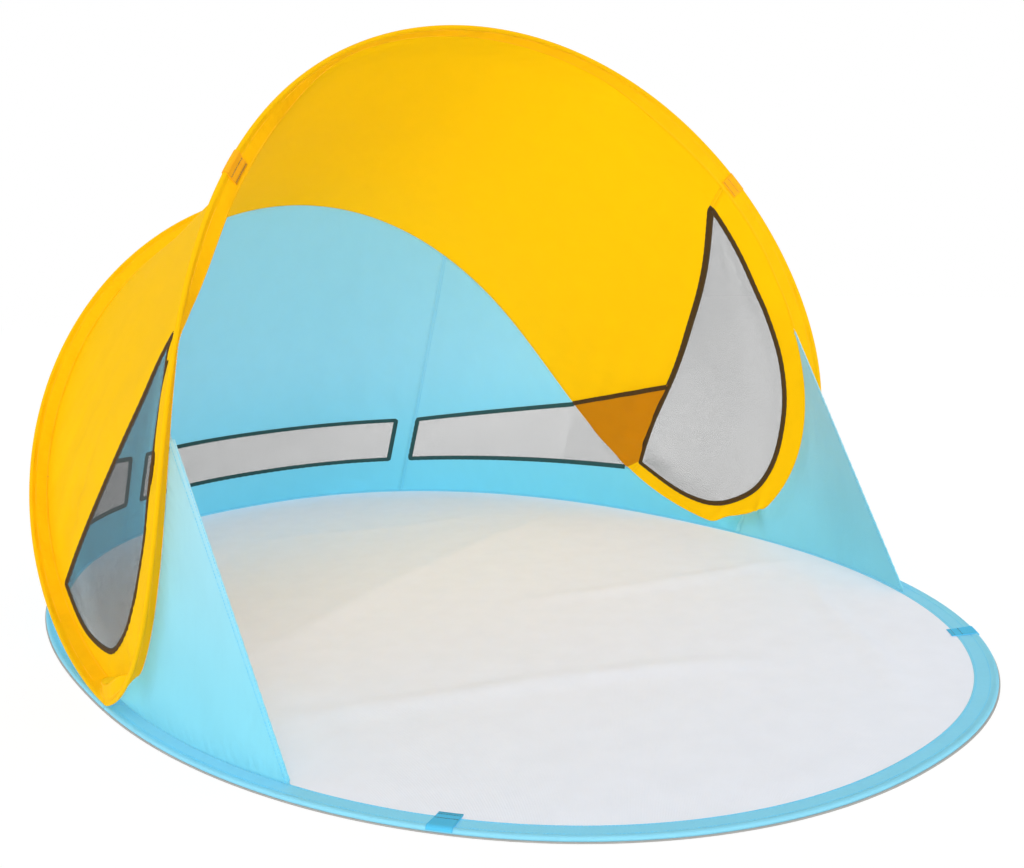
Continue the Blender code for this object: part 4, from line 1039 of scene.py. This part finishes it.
def build_corners():
    """The amber net corner inside the canopy beside each side window, with the tape along its top."""
    for side, word in sides:
        high, low = (np.array(p) for p in corner_tops[word])
        rear_edge = window_edges(word, 200)[1]
        near = rear_edge[(rear_edge[:, 0] < low[0]) & (rear_edge[:, 1] < high[1])] + (0.0012, 0.0)
        bottom = np.array((near[-1, 0], high[1]))
        outer = np.concatenate((np.linspace(low, high, 40)[:-1], np.linspace(high, bottom, 20)))
        t = np.linspace(0, 1, len(outer))
        inner = np.stack([np.interp(t, np.linspace(0, 1, len(near)), near[:, k]) for k in (0, 1)], -1)
        shares = mirror(band_shares(outer, inner, 24), side)
        points = canopy(shares[..., 0], shares[..., 1])
        normal = grid_normals(points)
        normal = normal * np.sign(((np.array((0.0, 0.0, 0.3)) - points) * normal).sum(-1, keepdims=True))
        points = points + normal * corner_lift(shares[..., 0], shares[..., 1])
        net = panel(word + " net corner cloth", points, points[..., 0] * 0, amber_net, 0.0003, pucker=0.0)
        hang(net, None, word + "_net_corner", arch_bend)
        line = mirror(np.linspace(low - (0.0006, 0.018), high, 40), side)
        piece = tape(word + " corner tape", above_corner, line, binding_width, corner_binding_half,
                     brown_tape)[0]
        attach(piece, None, [word + "_corner_binding"], arch_bend)


def strap(name, line, out, across, lip, reach, mat):
    """A strap of webbing over a sleeve: flat on its flap, round over the wire, down outside it."""
    gap, thick = 0.0004, 0.0011
    turn = np.radians(np.linspace(60, 178, 12))
    start = [(reach, lip + gap)] if reach <= sleeve_width else [(reach, sleeve_edge / 2 + gap),
                                                               (sleeve_width, sleeve_edge / 2 + gap)]
    low = np.concatenate((start, (sleeve_radius + gap) * np.stack((np.cos(turn), np.sin(turn)), -1)))
    top = np.concatenate((np.array(start) + (0, thick),
                          (sleeve_radius + gap + thick) * np.stack((np.cos(turn), np.sin(turn)), -1)))
    return swept(name, line, out, across, np.concatenate((low, top[::-1])), mat)


# Straps: how steeply they rise towards the wire, and how far their stitches lie over the sleeve's lip
strap_slope, strap_stitch_lift = 0.0745, 0.0017
# Patches: their share round the arch and half length, their face and stitch rows as (along flap, off it)
patch_share, half_patch_share = 0.296, 0.0068
patch_face = ((0.0215, 0.0014), (0.0145, 0.0017), (0.0075, 0.0021))
patch_stitch_places = ((0.0085, 0.0031), (0.0185, 0.0026), (0.0085, -0.0031), (0.0185, -0.0026))


def build_small():
    """Peg straps over the floor's sleeve and stitched patches on the front arch."""
    for word, rear, body, shares, reach in (("front", False, "front_floor", (0.250, 0.705), 0.036),
                                            ("rear", True, "rear_leaf", (0.250, 0.750), 0.012)):
        edge = Edge(rear, sleeve_radius, sleeve_radius)
        for side, share in zip(("left", "right"), shares):
            s = share + np.linspace(-0.015, 0.015, 14) / edge.length
            line, out = edge.at(s), floor_flap(edge.at)(s)
            forward = unit(np.gradient(line, axis=0))
            across = np.cross(forward, out)
            across = across * np.sign(across[:, 2:])
            lip = sleeve_edge / 2 + strap_slope * (sleeve_width - reach)
            piece = strap("%s peg strap %s" % (word, side), line, out, across, lip, reach, blue_tape)
            attach(piece, body, ["%s_peg_tab_%s" % (word, side)], None)
            rows = [line[1:-1] + out[1:-1] * a + across[1:-1] * (lip + strap_slope * (reach - a) * (a < reach)
                                                                + strap_stitch_lift)
                    for a in (reach * 0.55, reach * 0.85)]
            stitches("%s peg strap %s stitches" % (word, side), rows, dark_thread, body, None, short_pitch,
                     short_length)
    for share, sign, word in ((patch_share, -1, "left"), (1 - patch_share, 1, "right")):
        s = share + np.linspace(-half_patch_share, half_patch_share, 24)
        centre = front_wire(s)
        forward = heading(front_wire, s)
        out = square_to(front_flap(s), forward)
        across = np.cross(forward, out) * sign
        face = np.array(patch_face)
        turn = np.radians(np.linspace(62, 298, 20))
        ring = np.stack((np.cos(turn), np.sin(turn)), -1)
        low = np.concatenate((face, ring * (sleeve_radius + 0.0004), face[::-1] * (1, -1)))
        top = np.concatenate((face + (0, 0.0008), ring * (sleeve_radius + 0.0012),
                              (face[::-1] + (0, 0.0008)) * (1, -1)))
        piece = swept(word + " arch patch", centre, out, across, np.concatenate((low, top[::-1])), orange_tape)
        attach(piece, "front_arch", [word + "_arch_loop"], None)
        rows = [centre[2:-2] + out[2:-2] * a + across[2:-2] * b for a, b in patch_stitch_places]
        stitches(word + " arch patch stitches", rows, dark_thread, "front_arch", None, short_pitch,
                 short_length)


def seen_share(tree, share):
    """A share for the rays that see the backdrop itself; the rest light the tent."""
    path = add_node(tree, "LightPath").outputs
    seen = add_node(tree, "Math", {0: path["Is Camera Ray"], 1: path["Is Glossy Ray"]}, operation="ADD")
    seen = add_node(tree, "Math", {0: seen.outputs[0], 1: path["Is Transmission Ray"]}, operation="ADD")
    return add_node(tree, "Math", {0: seen.outputs[0], 1: share}, operation="MULTIPLY").outputs[0]


# Lamps: name, strength, spread in degrees, whether it casts shadows, and where it points
lamps = (("soft sun", 0.6, 30, True, (0.35, 0.55, -1.0)),
         ("front fill", 1.65, 20, False, (0.45, 0.85, 0.30)),
         ("side fill", 1.15, 20, False, (0.95, -0.30, 0.15)),
         ("top fill", 1.35, 20, False, (0.1, 0.3, -1.0)))


def build_light():
    """A white studio floor, an even white surround and four soft lamps."""
    floor = bpy.data.meshes.new("studio floor")
    floor.from_pydata([(x, y, -0.0005) for x, y in ((-12, -12), (12, -12), (12, 12), (-12, 12))], [],
                      [(0, 1, 2, 3)])
    stage = new_object("studio floor", floor)
    mat, tree, shader = new_material("white studio paper", "#F3F3F3", 0.9, gloss=0.0)
    glow = add_node(tree, "Emission", {"Color": (1, 1, 1, 1), "Strength": 1.0})
    mix = add_node(tree, "MixShader", {"Fac": seen_share(tree, 0.85), 1: shader.outputs[0],
                                       2: glow.outputs[0]})
    tree.links.new(mix.outputs[0], tree.nodes["Material Output"].inputs["Surface"])
    floor.materials.append(mat)
    world = bpy.data.worlds.new("studio")
    bpy.context.scene.world = world
    world.use_nodes = True
    tree = world.node_tree
    sky = tree.nodes["Background"]
    sky.inputs["Color"].default_value = (1, 1, 1, 1)
    sky.inputs["Strength"].default_value = 0.60
    white = add_node(tree, "Background", {"Color": (1, 1, 1, 1), "Strength": 1.0})
    mix = add_node(tree, "MixShader", {"Fac": seen_share(tree, 1.0), 1: sky.outputs[0],
                                       2: white.outputs[0]})
    tree.links.new(mix.outputs[0], tree.nodes["World Output"].inputs["Surface"])
    for name, energy, spread, shadow, aim in lamps:
        lamp = bpy.data.lights.new(name, "SUN")
        lamp.energy, lamp.angle, lamp.use_shadow = energy, math.radians(spread), shadow
        new_object(name, lamp).rotation_euler = Vector(aim).to_track_quat("-Z", "Y").to_euler()


# Camera, from the fit to the photo: degrees of turn, fall and roll, the lens, and what it looks at
camera_degrees = (38.16, 9.31, -1.76)
camera_lens, camera_aim, camera_distance = 36.11, (-0.0145, -0.1931, 0.3137), 1.728


def build_camera():
    turn, rise, roll = (math.radians(angle) for angle in camera_degrees)
    ahead = Vector((math.sin(turn) * math.cos(rise), math.cos(turn) * math.cos(rise), -math.sin(rise)))
    right = Vector((math.cos(turn), -math.sin(turn), 0))
    above = right.cross(ahead)
    right_rolled = right * math.cos(roll) + above * math.sin(roll)
    above_rolled = above * math.cos(roll) - right * math.sin(roll)
    data = bpy.data.cameras.new("camera")
    data.sensor_fit, data.sensor_width, data.lens = "HORIZONTAL", 36, camera_lens
    data.clip_start, data.clip_end = 0.05, 100
    camera = new_object("camera", data)
    pose = Matrix((right_rolled, above_rolled, -ahead)).transposed().to_4x4()
    pose.translation = Vector(camera_aim) - ahead * camera_distance
    camera.matrix_world = pose
    bpy.context.scene.camera = camera


build_canopy()
build_arches()
build_floor()
build_wall()
build_bindings()
build_gussets()
build_corners()
build_small()
build_light()
build_camera()
bpy.context.scene.view_settings.view_transform = "Standard"
